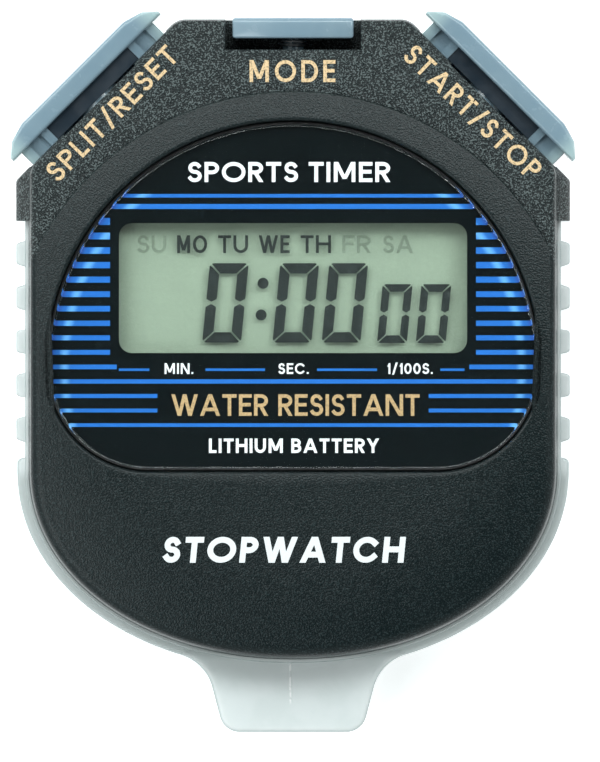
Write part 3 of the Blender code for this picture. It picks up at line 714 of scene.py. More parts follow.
def plain(name, colour, roughness, size, depth, metallic=0.0):
    """A small part's finish, whose bump has grains of a size and a depth."""
    finish = Finish(name, colour, roughness, Metallic=metallic)
    cloud = finish.between(finish.noise(4 * size), 0.35, 0.65, 0.0, 0.5)
    finish.tint(cloud, tuple(0.8 * c for c in colour))
    finish.rough(finish.noise(3 * size), 0.8 * roughness, min(1.0, 1.25 * roughness))
    return finish.bump(finish.noise(size), depth).material


def shader_of(material):
    """The one shader that a finish is built round."""
    return material.node_tree.nodes["Principled BSDF"]


# painted shade: a dark finish for the thin wall between a corner button's fins, standing in for the shade of
# the pocket
WEB_SHADE = plain("button plastic painted dark as shade", (0.008, 0.022, 0.038), 0.35, 0.8, 0.01)
GOLD = ink("gold ink", (0.84, 0.60, 0.34), 0.9)
PLATE_GOLD = ink("gold ink on the dial", (0.52, 0.35, 0.16), 0.6)
WHITE = ink("white ink", (0.86, 0.89, 0.91), 0.05)
DIAL = plain("black dial print", (0.002, 0.005, 0.006), 0.5, 1.5, 0.001)
shader_of(DIAL).inputs["Specular IOR Level"].default_value = 0.05
RUBBER = plain("black rubber", (0.012, 0.012, 0.013), 0.75, 0.3, 0.02)
PINK_RUBBER = plain("contact rubber", (0.60, 0.24, 0.26), 0.7, 0.25, 0.02)
WHITE_PLASTIC = plain("white frame plastic", (0.74, 0.74, 0.71), 0.5, 0.8, 0.01)
EPOXY = plain("black epoxy", (0.010, 0.010, 0.011), 0.22, 0.9, 0.02)
STEEL = plain("spring steel", (0.62, 0.62, 0.64), 0.28, 0.4, 0.004, 1.0)
BRASS = plain("brass", (0.72, 0.52, 0.22), 0.3, 0.4, 0.004, 1.0)
CERAMIC = plain("white ceramic", (0.80, 0.78, 0.72), 0.45, 0.3, 0.006)
print("finishes:", len(bpy.data.materials))


# %% [markdown]
# ### Blue ink, board and display
#
# The lens's edge bends light, which shows on the stripes as a paler ring just inside it and a
# darker one beyond. The ring is part of the ink's colour here, worked out from the distance to the
# lens's axis, because it stays in one place on the dial. The display's backing is a fine matt
# metal, and its glass is slightly green.

# %% Blue ink
PALE_RING = 2.1  # how far the pale ring lies inside the lens's edge


def blue_ink():
    """Flat blue, paler within 0.75 mm of the pale ring and darker close to the lens's edge."""
    finish = Finish("blue ink", (0.014, 0.145, 0.52), 0.45, Specular_IOR_Level=0.15)
    radius = finish.length(finish.axis("X"), finish.math("SUBTRACT", finish.axis("Y"), LENS_MIDDLE[1] * MM))
    off_ring = finish.math("ABSOLUTE", finish.math("SUBTRACT", radius, (LENS_RADIUS - PALE_RING) * MM))
    finish.tint(finish.between(off_ring, 0.05 * MM, 0.75 * MM, 0.5, 0.0), (0.22, 0.60, 1.0))
    edge = finish.between(radius, (LENS_RADIUS - 1.2) * MM, (LENS_RADIUS - 0.5) * MM, 0.0, 0.7)
    finish.tint(edge, (0.03, 0.05, 0.35))
    return finish.bump(finish.noise(0.4), 0.01).material


BLUE = blue_ink()
print("finish:", BLUE.name)


# %% Board and display finishes
def board_green():
    """Green lacquer, paler in soft patches, under a thin clear coat."""
    finish = Finish("solder mask green", (0.03, 0.17, 0.07), 0.35, Coat_Weight=0.3)
    finish.tint(finish.between(finish.noise(1.6, 4.0), 0.48, 0.56, 0.0, 0.6), (0.06, 0.26, 0.10))
    return finish.bump(finish.noise(0.8), 0.03).material


def reflector():
    """Fine matt metal behind the display, with a small pale speckle."""
    finish = Finish("display reflector", (0.47, 0.505, 0.475), 0.6)
    finish.tint(finish.between(finish.noise(0.16, 3.0), 0.45, 0.62, 0.0, 0.6), (0.56, 0.595, 0.565))
    return finish.bump(finish.noise(0.2), 0.02).material


def clear(name, colour, roughness, ior, lamp_colour):
    """A clear piece: full transmission for what the eye sees, and a straight way through for lamp
    light."""
    finish = Finish(name, colour, roughness, Transmission_Weight=1.0, IOR=ior)
    return finish.see_through_to_lamps(lamp_colour).material


BOARD = board_green()
REFLECTOR = reflector()
LENS = clear("clear lens plastic", (1.0, 1.0, 1.0), 0.015, 1.49, (0.96, 0.97, 0.97))
POLARISER = clear("polariser and glass", (0.88, 0.91, 0.87), 0.05, 1.2, (0.88, 0.91, 0.87))
DARK_SEGMENT = plain("dark segment", (0.006, 0.013, 0.017), 0.5, 0.3, 0.004)
GHOST_SEGMENT = plain("faint segment", (0.05, 0.07, 0.06), 0.6, 0.3, 0.004)
shader_of(GHOST_SEGMENT).inputs["Alpha"].default_value = 0.16
print("finishes:", len(bpy.data.materials))


# %% [markdown]
# ## Front shell
#
# The front is one moulding: a shallow dome round the lens, a step along a circle, a flat label area
# outside that, rounded edges, drafted side walls, two shoulders and a skirt that reaches down
# behind the buttons.
#
# Its skin is worked out on a grid. A column leaves the dome's axis in one direction. The rows
# follow it outward over the lip, the dome, the ring and the label area, round the edge, down the
# wall, round the tongue that stands inside the back, and up again to the lens opening, so the
# moulding is one closed tube. Pockets for the buttons are then cut with exact Booleans.

# %% Front shell: the height of its face
FILM = 0.02  # thickness of the printed ink; the dome stays this far below the frame's highest level
RING_STEP = 0.16
RING_ROWS = (-0.5, -0.2, -0.05, 0.0, 0.04, 0.08, 0.12, RING_STEP, 0.22, 0.5)
LIP = 0.28


def face_height(spot):
    """CROWN - max(0, r - flat)^2 / fall on the dome; outside the ring, above the middle, the flat
    label level."""
    radius = np.hypot(*(spot - DOME_MIDDLE).T)
    dome = CROWN - FILM - np.maximum(0, radius - DOME_FLAT) ** 2 / DOME_FALL
    outside = smooth((radius - RING) / RING_STEP) * (spot[:, 1] > 5)
    return dome + outside * (LABEL - dome)


def on_face(spot):
    """Points of the face above the given places."""
    return levelled(spot, face_height(spot))


print("dome at the ring:", on_face(np.array([[0.0, RING + DOME_MIDDLE[1]]]))[0, 2].round(2), "mm")


# %% Front shell: rows of the closed skin
EDGE_PLACES = (-32, -11, 5, 17, 24)  # where along Y the rounded edge's width and fall are given
EDGE_WIDTH = (1.7, 1.6, 1.1, 0.9, 0.55)
EDGE_FALL = (1.2, 1.1, 0.9, 0.8, 0.45)
TONGUE_SIDE, HOLLOW_SIDE = 27.8, 26.8
HOLLOW_DIAGONAL, HOLLOW_TOP = 47.5, 34.3
LEDGE_REACH = -1.9  # the ledge under the lens reaches this far inside the opening
NEAR_RING = 0.6  # the rows crowd together this close to the ring


def front_rows():
    """Loops of points in order: face, rounded edge, wall, tongue, hollow, ledge and lip, reversed
    to face out."""
    outer = case_loop(SIDE - 0.2, diagonal=DIAGONAL - 0.3, top=TOP - 0.2)
    width, fall = (np.interp(outer[:, 1], EDGE_PLACES, sizes) for sizes in (EDGE_WIDTH, EDGE_FALL))
    brink = inset(outer, width)
    dx, dy = (brink - DOME_MIDDLE).T
    angles, far = np.arctan2(dy, dx), np.hypot(dx, dy)
    near = reach(angles, lens_loop(), DOME_MIDDLE)
    step = np.minimum(RING, far - 0.7)
    stations = [near + LIP + (step - NEAR_RING - near - LIP) * t for t in np.linspace(0, 1, 14)]
    stations += [step + off for off in RING_ROWS]
    stations += [step + NEAR_RING + (far - step - NEAR_RING) * t for t in np.linspace(0, 1, 10)]
    face = [on_face(ray_points(DOME_MIDDLE, angles, r)) for r in stations]

    level = face[-1][:, 2]
    turn = np.radians(np.linspace(0, 90, 9)[1:])
    edge = [levelled(inset(outer, width * (1 - math.sin(a))), level - fall * (1 - math.cos(a)))
            for a in turn]

    wall_foot = np.where(outer[:, 1] > FOOT, SKIRT_FOOT, RIM + GAP)
    skirt = case_loop(SIDE + 0.1, SHOULDER, knee_round=0.6)
    drafted = case_loop(SIDE - 0.05, diagonal=DIAGONAL - 0.1, top=TOP - 0.1)
    wall = [levelled(drafted, SHOULDER_LEVEL + 1.9),
            levelled(case_loop(SIDE, SHOULDER - 0.45, knee_round=0.6), SHOULDER_LEVEL + 0.75),
            levelled(inset(skirt, 0.1), SHOULDER_LEVEL + 0.2)]
    wall += [levelled(skirt, wall_foot + (SHOULDER_LEVEL - 0.1 - wall_foot) * t)
             for t in (1.0, 0.7, 0.4, 0.06)]
    wall.append(levelled(inset(skirt, 0.15), wall_foot))

    tongue = case_loop(TONGUE_SIDE, diagonal=DIAGONAL - 2.83, top=TOP - 2, knee_round=0.6)
    hollow = case_loop(HOLLOW_SIDE, diagonal=HOLLOW_DIAGONAL, top=HOLLOW_TOP, knee_round=0.6)
    ledge = ray_points(DOME_MIDDLE, angles, reach(angles, lens_loop(LEDGE_REACH), DOME_MIDDLE))
    inside = [levelled(tongue, wall_foot), levelled(tongue, TONGUE_FOOT),
              levelled(hollow, TONGUE_FOOT), levelled(hollow, CEILING),
              levelled(ledge, CEILING), levelled(ledge, LEDGE)]

    lip_level = face[0][:, 2]
    lip = [levelled(ray_points(DOME_MIDDLE, angles, near), LEDGE)]
    for a in np.radians((0, 30, 60)):
        spot = ray_points(DOME_MIDDLE, angles, near + LIP * (1 - math.cos(a)))
        lip.append(levelled(spot, lip_level - LIP * (1 - math.sin(a))))
    return (face + edge + wall + inside + lip)[::-1]


front_skin = mesh_of("front_shell", ring(front_rows()))
print("front skin:", len(front_skin.polygons), "faces")

# %% [markdown]
# ### Pockets, notch and stem holes
#
# Each button sits in a pocket. The cutting shapes are made in the button's own directions, along
# the edge, outward and up, and then carried to the three places. The cutters flare a little at the
# face, which leaves the small chamfer that a mould needs and that catches the light.

# %% Button places and cutters
CORNER_PLACE, MODE_PLACE = (21.9, 30.7), (0.0, 37.9)
PLACES = {"split_reset": (-CORNER_PLACE[0], CORNER_PLACE[1], 45.0),
          "start_stop": (*CORNER_PLACE, -45.0),
          "mode": (*MODE_PLACE, 0.0)}
CORNER_BUTTONS = ("split_reset", "start_stop")
POCKET_FLOOR = -1.8
WALL_INSIDE = -3.6
FACE_ABOVE_STEM = LABEL - STEM


def at_button(shape, button):
    """Carries a shape from a button's own directions (along, outward, up) to its place."""
    points, faces = shape
    x, y, turn = PLACES[button]
    c, s = math.cos(math.radians(turn)), math.sin(math.radians(turn))
    along, out, up = np.array(points).T
    return np.column_stack([x + along * c - out * s, y + along * s + out * c, STEM + up]), faces


def brick(low, high, flare=0.0):
    """A box between two corners, whose top grows by a flare over the same height."""
    (x0, y0, z0), (x1, y1, z1) = low, high
    flat = np.array([(x0, y0), (x1, y0), (x1, y1), (x0, y1)])
    rows = [levelled(flat, z0), levelled(flat, z1 - flare), levelled(inset(flat, -flare), z1)]
    return solid(rows if flare else [rows[0], rows[2]])


def turned_stem(profile, count=32):
    """Circles about a button's stem, with radius r at depth d for each (r, d) of the profile,
    outermost first."""
    along, up = arc((0, 0), 1.0, 0, 360 - 360 / count, count).T
    return solid([np.column_stack([along * r, np.full(count, d), up * r]) for r, d in profile])


def rod(radius, start, end):
    """A cylinder along a button's stem, from one depth to another."""
    return turned_stem([(radius, end), (radius, start)])


def pocket_steps():
    """The three rounds of cutting: pockets and notch, then slots over the corner pockets, then stem
    holes."""
    above = FACE_ABOVE_STEM + 0.01
    pocket = brick((-10.8, POCKET_FLOOR, -3.8), (10.8, 3, 3.8))
    notch = brick((-7.6, POCKET_FLOOR, -4.1), (7.6, 4, above), 0.16)
    slot = brick((-5.65, -0.4, 3.0), (5.65, 3, above), 0.1)
    hole = rod(1.4, WALL_INSIDE - 1.5, POCKET_FLOOR + 1)
    pockets = [at_button(pocket, button) for button in CORNER_BUTTONS]
    slots = [at_button(slot, button) for button in CORNER_BUTTONS]
    holes = [at_button(hole, button) for button in PLACES]
    return together(*pockets, at_button(notch, "mode")), together(*slots), together(*holes)


print("buttons at", {button: place[:2] for button, place in PLACES.items()})

# %% Front shell: cut and finished
put("case_front", boolean(front_skin, "DIFFERENCE", *pocket_steps()), BLACK,
    stands_for=["front_shell"], sharp=38)

# %% [markdown]
# ## Milky back
#
# The back is a deep tray. Its wall carries five grip ribs a side and a broad band round the lower
# end. Ribs and band are one idea: the wall stands at one outline or at a slightly larger one, and a
# share between 0 and 1, which depends on the place along the edge and on the height, says how far
# it has moved from the first to the second. The share rises like a quarter circle, so every rib has
# rounded edges.

# %% Back: how far the wall stands out
WALL, BAND = 30.1, 31.0
BAND_TOP = -9.6
RIB_MIDDLES = 13.3 - 4.93 * np.arange(5)
RIB_HALF = 1.375
EDGE_ROUND = 1.6
BACK_INSIDE, BACK_FLOOR = 28.1, 2.2


def quarter(x):
    """Rises from 0 to 1 like a quarter of a circle: sqrt(1 - (1 - x)^2)."""
    return np.sqrt(1 - (1 - np.clip(x, 0, 1)) ** 2)


def stand_out(spot, t):
    """The share at a point of the outline, t of the way up the wall: the largest of its rib's, the
    band's and the upper part's, rounded off near the foot and near the rim."""
    x, y = spot.T
    ribs = quarter(np.max(RIB_HALF - np.abs(y[:, None] - RIB_MIDDLES), 1) / 0.4)
    band = quarter((BAND_TOP - y) / 0.6)
    above = (y > FOOT) * 1.0
    soft = np.where(y < BAND_TOP, 0.10, 0.05)
    return np.maximum(np.maximum(ribs, band), above) * quarter(t / 0.08) * quarter((0.97 - t) / soft)


print("ribs at", RIB_MIDDLES.round(2), "mm, each", 2 * RIB_HALF, "mm tall")


# %% Back: rows of the skin
def back_rows():
    """Rows over the back's rounded edge, up the wall, over the rim and down inside."""
    near, out = case_loop(WALL), case_loop(BAND, SHOULDER)
    ribbed = case_loop(SHOULDER)
    out = np.where((near[:, 1] > BAND_TOP)[:, None], ribbed, out)
    rim = np.where(near[:, 1] > FOOT, RIM_TOP, RIM)
    rows = [levelled(inset(near, EDGE_ROUND * (1 - math.sin(a))), EDGE_ROUND * (1 - math.cos(a)))
            for a in np.radians(np.linspace(0, 90, 8))]
    rises = [np.linspace(0, 0.08, 5)[1:], [0.3, 0.6, 0.85], np.linspace(0.87, 0.97, 10), [0.985]]
    for t in np.concatenate(rises):
        wall = near + (out - near) * stand_out(near, t)[:, None]
        rows.append(levelled(wall, EDGE_ROUND + t * (rim - EDGE_ROUND)))
    inner = case_loop(BACK_INSIDE, diagonal=DIAGONAL - 2.4, top=TOP - 1.7, knee_round=1.0)
    rows += [levelled(inset(near, 0.12), rim), levelled(inset(inner, -0.1), rim),
             levelled(inner, rim - 0.1), levelled(inner, BACK_FLOOR + 0.3),
             levelled(inset(inner, 0.3), BACK_FLOOR)]
    return rows


back_skin = mesh_of("rear_shell", solid(back_rows()))
print("back skin:", len(back_skin.polygons), "faces")


# %% [markdown]
# ### Lug, hatch seat and screw seats
#
# The lanyard lug is a rounded slab joined to the lower end, with a square tunnel across it for the
# cord. The seat of the battery hatch and the four screw seats are cut into the back.

# %% Rounded slabs and upright cylinders
def softened(loop, low, high, radius, steps=6):
    """A slab between two heights whose edges are rounded: the loop drawn in by r (1 - sin a) as a
    turns."""
    turn = np.radians(np.linspace(0, 90, steps))
    drawn = [(inset(loop, radius * (1 - math.sin(a))), radius * (1 - math.cos(a))) for a in turn]
    below = [levelled(outline, low + rise) for outline, rise in drawn]
    above = [levelled(outline, high - rise) for outline, rise in drawn[::-1]]
    flat = inset(loop, radius + 0.12)  # keeps the flat faces' shading flat
    return solid([levelled(flat, low), *below, *above, levelled(flat, high)])


def upright(radius, middle, low, high, count=64):
    """A cylinder that stands on the floor's plane."""
    circle = arc(middle, radius, 0, 360 - 360 / count, count)
    return solid([levelled(circle, low), levelled(circle, high)])


print("a softened square slab has", len(softened(10.0 * square, 0, 5, 1)[0]), "points")


# %% Lug and lanyard tunnel
LUG_FOOT = rear_low[1]
LUG_LEVELS = (2.6, 11.15)
FILLET_MIDDLE, FILLET = (14.1, -36.75), 5.2  # the hollow curve where the lug leaves the case
LUG_KNEE, LUG_CORNER = (9.08, -35.4), (7.75, LUG_FOOT)
TUNNEL_Y, TUNNEL_Z = (-38.65, -34.25), (4.4, 8.8)


def lug():
    """The right half of the outline runs from the wall round the fillet to a rounded corner, then
    is mirrored."""
    right = np.vstack([[(12.6, -30.2)], arc(FILLET_MIDDLE, FILLET, 106.9, 165, 14),
                       corner(LUG_CORNER, LUG_KNEE, (0, LUG_FOOT), 2.3, 12)])
    loop = np.vstack([[(0, -31.9)], right, (right * (-1, 1))[::-1]])[::-1]
    return softened(loop, *LUG_LEVELS, 0.55)


def lanyard_tunnel():
    """A square section with rounded corners, carried right across the lug."""
    (y0, y1), (z0, z1) = TUNNEL_Y, TUNNEL_Z
    section = rounded([(y0, z0, 0.5), (y1, z0, 0.5), (y1, z1, 0.5), (y0, z1, 0.5)], 5)
    return solid([np.column_stack([np.full(len(section), x), section]) for x in (-20, 20)])


print("lug", round(2 * LUG_KNEE[0], 2), "mm wide at its knee")


# %% Back: cuts
HATCH_MIDDLE = (0.0, -13.5)
SCREWS = ((-23.7, 21.4), (23.7, 21.4), (-17.5, -20.5), (17.5, -20.5))


def sector(outer, inner, start, end, low, high):
    """Part of a ring about the hatch's axis, between two angles."""
    loop = np.vstack([arc(HATCH_MIDDLE, outer, start, end, 16), arc(HATCH_MIDDLE, inner, end, start, 12)])
    return solid([levelled(loop, low), levelled(loop, high)])


back = boolean(back_skin, "UNION", lug())
seats = together(*(upright(2.1, at, -1, 1.1, 40) for at in SCREWS))
screw_holes = together(*(upright(1.2, at, 0.5, 3, 32) for at in SCREWS))
notches = together(*(sector(11.8, 8.0, middle - 24, middle + 24, 1.0, 4)
                     for middle in (40, 220)))
back = boolean(back, "DIFFERENCE", lanyard_tunnel(), upright(12.6, HATCH_MIDDLE, -1, 1.5, 96),
               upright(10.6, HATCH_MIDDLE, 1, 3, 96), notches, seats, screw_holes)
put("case_back", back, MILKY, stands_for=["rear_shell"], sharp=40)


# %% [markdown]
# ### Battery hatch
#
# The hatch turns by a coin. It is a turned disc with a rounded edge, a plug that carries the
# sealing ring, and two bayonet lugs. The coin slot is cut with rounded ends, as a milling cutter
# would leave it.

# %% Battery hatch
HATCH_RADIUS, HATCH_BOTTOM = 12.3, 0.15
GRIP_RING, GRIP_ANGLES = 8.0, (45, 70, 90, 110, 135, 225, 250, 270, 290, 315)


def turned_up(middle, profile, count=96):
    """Circles about an upright axis, one for each (radius, height) of the profile, lowest first."""
    circle = arc((0, 0), 1.0, 0, 360 - 360 / count, count)
    return solid([levelled(np.array(middle) + circle * r, z) for r, z in profile])


def hatch_shape():
    """A turned cover with a shallow ring groove and a rounded rim, two bayonet lugs, a coin slot
    and grip dots."""
    rim = [(HATCH_RADIUS - 0.5 * (1 - math.sin(a)), HATCH_BOTTOM + 0.5 * (1 - math.cos(a)))
           for a in np.radians(np.linspace(0, 90, 7))]
    groove = [(9.2, HATCH_BOTTOM), (9.35, 0.3), (9.75, 0.3), (9.9, HATCH_BOTTOM)]
    plug = [(HATCH_RADIUS, 1.3), (12.25, 1.35), (9.5, 1.35), (9.5, 3.2), (9.4, 3.3)]
    cover = mesh_of("hatch", turned_up(HATCH_MIDDLE, groove + rim + plug))
    lugs = together(*(sector(11.4, 8.5, start - 17, start + 17, 2.45, 3.15) for start in (0, 180)))
    x, y = HATCH_MIDDLE
    slot = np.vstack([arc((x + 5.15, y), 0.85, -90, 90, 13), arc((x - 5.15, y), 0.85, 90, 270, 13)])
    grips = together(*(upright(0.45, arc(HATCH_MIDDLE, GRIP_RING, a, a, 1)[0], -1, 0.35, 16)
                       for a in GRIP_ANGLES))
    cover = boolean(cover, "UNION", lugs)
    return boolean(cover, "DIFFERENCE", solid([levelled(slot, -1), levelled(slot, 0.9)]), grips)


put("hatch_cover", hatch_shape(), MILKY, body="hatch",
    stands_for=["battery_hatch"], sharp=40)


# %% [markdown]
# ## Buttons
#
# A corner button is a thick plate with slanted ends that stands over a tray. Two fins a side join
# them, and a hub in the middle hides the return spring. Plate, tray, fins and hub are moulded as
# one, so the shapes are joined with exact Booleans. The plate's edges are rounded as the mould's
# are.

# %% Stem
STEM_RADIUS, GROOVE_RADIUS = 1.2, 0.85
HUB_RADIUS, HUB_BORE = 2.7, 2.1


def stem():
    """The stem's turned profile: a shaft, the groove for the clip, and a chamfered tip."""
    return turned_stem([(STEM_RADIUS, 1.6), (STEM_RADIUS, -3.85), (GROOVE_RADIUS, -3.85),
                        (GROOVE_RADIUS, -4.7), (STEM_RADIUS, -4.7), (STEM_RADIUS, -5.2), (1.0, -5.4)])


print("stem", 2 * STEM_RADIUS, "mm thick in a", 2 * HUB_BORE, "mm bore")

# %% Corner buttons
PLATE_HALF = np.array([11.7, 1.15])
PLATE_MIDDLE = np.array([0.0, 2.85])
PLATE_TALL = 9.2
PLATE_ROUND = 0.4
FIN_REACH = 3.2


def beside(side, near, far, low, high):
    """A brick from near to far along the button, on its right (side 1) or its left (side -1)."""
    return brick((min(side * near, side * far), *low), (max(side * near, side * far), *high))


def corner_plate():
    """The outline is drawn in towards its middle by a share of its size, so that its thin ends
    never cross over. The share and the height follow a quarter circle at the bottom and at the
    top."""
    half = [(11.7, 1.7, 0.1), (11.7, 2.1, 0.3), (10.3, 3.35, 0.8), (8.1, 4.0, 1.5)]
    loop = rounded(half + [(-x, y, r) for x, y, r in half[::-1]], 6)
    turn = np.radians(np.linspace(0, 90, 7))
    draw, rise = PLATE_ROUND * (1 - np.sin(turn)), PLATE_ROUND * (1 - np.cos(turn))
    draws = np.concatenate([[0.6], draw, draw[::-1], [0.6]])
    levels = np.concatenate([[0.0], rise, PLATE_TALL - rise[::-1], [PLATE_TALL]]) - PLATE_TALL / 2
    return solid([levelled(PLATE_MIDDLE + (loop - PLATE_MIDDLE) * (1 - d / PLATE_HALF), z)
                  for d, z in zip(draws, levels)])


def corner_button():
    """Plate, tray, fins, links and hub joined, the hub bored for its spring, and the stem put
    back."""
    tray = brick((-10.4, -0.5, -3.4), (10.4, 1.8, -2.4))
    fins = together(*(beside(side, near, far, (-0.45, -FIN_REACH), (1.85, FIN_REACH))
                      for side in (-1, 1) for near, far in ((6.4, 7.4), (9.2, 10.3))))
    links = together(*(beside(side, 7.2, 9.4, (-0.4, 1.6), (1.8, 2.6)) for side in (-1, 1)))
    mesh = boolean(mesh_of("plate", corner_plate()), "UNION", tray, fins, links, rod(HUB_RADIUS, -0.6, 1.9))
    mesh = boolean(mesh, "DIFFERENCE", rod(HUB_BORE, -1.5, 1.5))
    return boolean(mesh, "UNION", stem())


def web_in_painted_shade():
    """A thin wall between the inner fins, level with the top of the hub, coloured dark as painted shade
    of the pocket."""
    return brick((-6.38, -0.05, 2.75), (6.38, 1.68, 3.0))


corner_mesh = corner_button()
print("corner button:", len(corner_mesh.polygons), "faces")

# %% Mode button
MODE_STATIONS = ((-6.8, 0.3), (-6.72, 0.12), (-6.5, 0.0), (6.5, 0.0), (6.72, 0.12), (6.8, 0.3))


def mode_cap():
    """One rounded section carried along the button, drawn in a little at each (place, amount) near
    its ends."""
    edge = rounded([(-0.5, -3.5, 0.1), (1.8, -3.5, 0.5), (1.8, 5.9, 0.5), (-0.5, 5.9, 0.3)], 6)
    rows = [np.column_stack([np.full(len(edge), along), inset(edge, draw)]) for along, draw in MODE_STATIONS]
    mesh = boolean(mesh_of("cap", solid(rows)), "DIFFERENCE", rod(HUB_BORE, -1.5, 1.1))
    return boolean(mesh, "UNION", stem())


def moved(mesh, button):
    """A copy of a mesh made in the button's own directions, carried to its place."""
    made = mesh.copy()
    points = np.empty(len(made.vertices) * 3)
    made.vertices.foreach_get("co", points)
    points, _ = at_button((points.reshape(-1, 3) / MM, None), button)
    made.vertices.foreach_set("co", (points * MM).ravel())
    return made


for name in CORNER_BUTTONS:
    put(name + "_cap", moved(corner_mesh, name), BUTTON, body=name,
        stands_for=[name + "_button"], sharp=35)
    # the wall between the fins is a dark sheet of painted shade
    put(name + "_shade_web", at_button(web_in_painted_shade(), name), WEB_SHADE, body=name)
put("mode_cap", moved(mode_cap(), "mode"), BUTTON, body="mode",
    stands_for=["mode_button"], sharp=35)


# %% [markdown]
# ### Return springs
#
# A spring is a circle carried along a helix. It sits in the case and is pressed flat when its
# button goes in. It rides on the case.

# %% Return springs
SPRING_RADIUS, SPRING_WIRE, SPRING_TURNS = 1.72, 0.17, 4
SPRING_SEAT = -1.4  # where the case end of every spring rests
# far end, and the share of the length kept at full press
SPRINGS = {"split_reset": (1.25, 0.62), "start_stop": (1.25, 0.62), "mode": (0.85, 0.56)}


def coil(radius, wire, start, end, turns, count=24):
    """A circle of the wire's radius carried along (R cos a, R sin a, rise); its flat first and last
    turns sit on their seats because the rise is smoothed."""
    angle = np.linspace(0, 2 * math.pi * turns, int(turns * count) + 1)
    share = smooth(np.linspace(0, 1, len(angle)) * 0.9 + 0.05)
    share = (share - share[0]) / (share[-1] - share[0])
    rise = start + wire + (end - start - 2 * wire) * share
    path = np.column_stack([radius * np.cos(angle), rise, radius * np.sin(angle)])
    along = np.gradient(path, axis=0)
    along /= np.linalg.norm(along, axis=1)[:, None]
    out = np.column_stack([np.cos(angle), np.zeros(len(angle)), np.sin(angle)])
    side = np.cross(along, out)
    around = np.radians(np.arange(0, 360, 36))[None, :, None]
    return solid(path[:, None] + wire * (np.cos(around) * out[:, None] + np.sin(around) * side[:, None]))


for name, (end, keep) in SPRINGS.items():
    shape = coil(SPRING_RADIUS, SPRING_WIRE, SPRING_SEAT, end, SPRING_TURNS)
    spring = put(name + "_coil", at_button(shape, name), STEEL, stands_for=[name + "_spring"])
    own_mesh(spring)


# %% [markdown]
# ## Lens and gasket
#
# The lens is a clear slab, flat on top with a narrow rounded edge. Somewhere on that edge every
# lamp finds its mirror, which is what gives the lens its thin bright outline. A black rubber ring
# fills the gap between lens and case.

# %% Lens and gasket
LENS_GAP, LENS_EDGE = 0.45, 0.25  # room round the lens, and the radius of its edge
SEAL_INSET, SEAL_LEVEL = 0.25, 17.8
SEAL_HALF = (0.17, 0.6)


def lens_shape():
    """The lens outline at a stack of levels: a small chamfer below, a quarter circle above, then a
    flat inner row that keeps the top's shading flat."""
    low, high = lens_low[2], lens_high[2]
    edge = [(LENS_GAP + LENS_EDGE * (1 - math.sin(a)), high - LENS_EDGE * (1 - math.cos(a)))
            for a in np.radians(np.linspace(90, 0, 9))]
    levels = [(LENS_GAP + 0.05, low), (LENS_GAP, low + 0.05), *edge, (0.95, high)]
    return solid([levelled(lens_loop(-draw), z) for draw, z in levels])


def gasket_shape():
    """An upright ellipse carried round the lens outline."""
    across, up = SEAL_HALF
    return ring([levelled(lens_loop(-SEAL_INSET - across * math.cos(a)), SEAL_LEVEL + up * math.sin(a))
                 for a in np.radians(np.arange(0, 360, 30))])


put("clear_lens", lens_shape(), LENS, stands_for=["lens"])
put("lens_seal", gasket_shape(), RUBBER, stands_for=["lens_gasket"], sharp=60)


# %% [markdown]
# ## Striped dial
#
# The plate under the lens is black with blue stripes. They keep one pitch and grow thinner towards
# the bottom, and the ones beside the display stop short of its frame. A stripe is a thin flat prism
# whose ends follow the lens outline, because the plate is printed before it is cut out.

# %% Stripes
PLATE_TOP = plate_high[2]
STRIPE_PITCH, FIRST_STRIPE = 1.629, 16.86
STRIPE_HALF, STRIPE_THINNING = 0.39, 0.0135  # the first one's half height, and the loss at each step
LONG_STRIPES = (11, 14)  # these two run right across
WINDOW_HALF = 20.5  # the rest stop this far from the middle, except for the ones named below
STRIPE_STOPS = {10: 19.75, 12: 15.2, 13: 15.2}
UNIT_RULES = ((-19.5, -16.1), (-9.8, -3.15), (2.7, 9.4), (16.5, 19.2))


def half_width(y, draw):
    """Half the width of the lens outline at a height: a circle's chord, plus the straight part in
    its lower half."""
    radius = np.where(y > LENS_MIDDLE[1], LENS_RADIUS, LENS_CORNER) - draw
    straight = np.where(y > LENS_MIDDLE[1], 0.0, LENS_RADIUS - LENS_CORNER)
    return straight + np.sqrt(np.maximum(0, radius ** 2 - (y - LENS_MIDDLE[1]) ** 2))


def slab(polygon, low, high):
    """A flat prism over a polygon, whichever way round it was drawn."""
    polygon = np.array(polygon)
    x, y = polygon.T
    if np.sum(x * np.roll(y, -1) - y * np.roll(x, -1)) < 0:
        polygon = polygon[::-1]
    return solid([levelled(polygon, low), levelled(polygon, high)])


def stripe(low, high, start=None, end=None, side=1):
    """A stripe between two heights, from x = start (or the left end) to x = end (or the right
    end)."""
    levels = np.linspace(low, high, 4)
    edge = half_width(levels, 0.62)
    right = edge if end is None else np.full(4, end)
    left = -edge if start is None else np.full(4, start)
    return slab(np.vstack([np.column_stack([right, levels]), np.column_stack([left, levels])[::-1]]),
                PLATE_TOP, PLATE_TOP + FILM)


def all_stripes():
    """Two full stripes over the display, then fifteen at one pitch, then the short rules between
    the units."""
    shapes = [stripe(19.54, 19.94), stripe(18.26, 18.82)]
    for k in range(15):
        middle, half = FIRST_STRIPE - STRIPE_PITCH * k, STRIPE_HALF - STRIPE_THINNING * k
        low, high = middle - half, middle + half
        if k in LONG_STRIPES:
            shapes.append(stripe(low, high))
            continue
        stop = STRIPE_STOPS.get(k, WINDOW_HALF)
        shapes += [stripe(low, high, end=-stop), stripe(low, high, start=stop)]
    for start, end in UNIT_RULES:
        rule = [(start, 0.12), (end, 0.12), (end, 0.39), (start, 0.39)]
        shapes.append(slab(rule, PLATE_TOP, PLATE_TOP + FILM))
    return shapes


put("dial_stripes", together(*all_stripes()), BLUE)


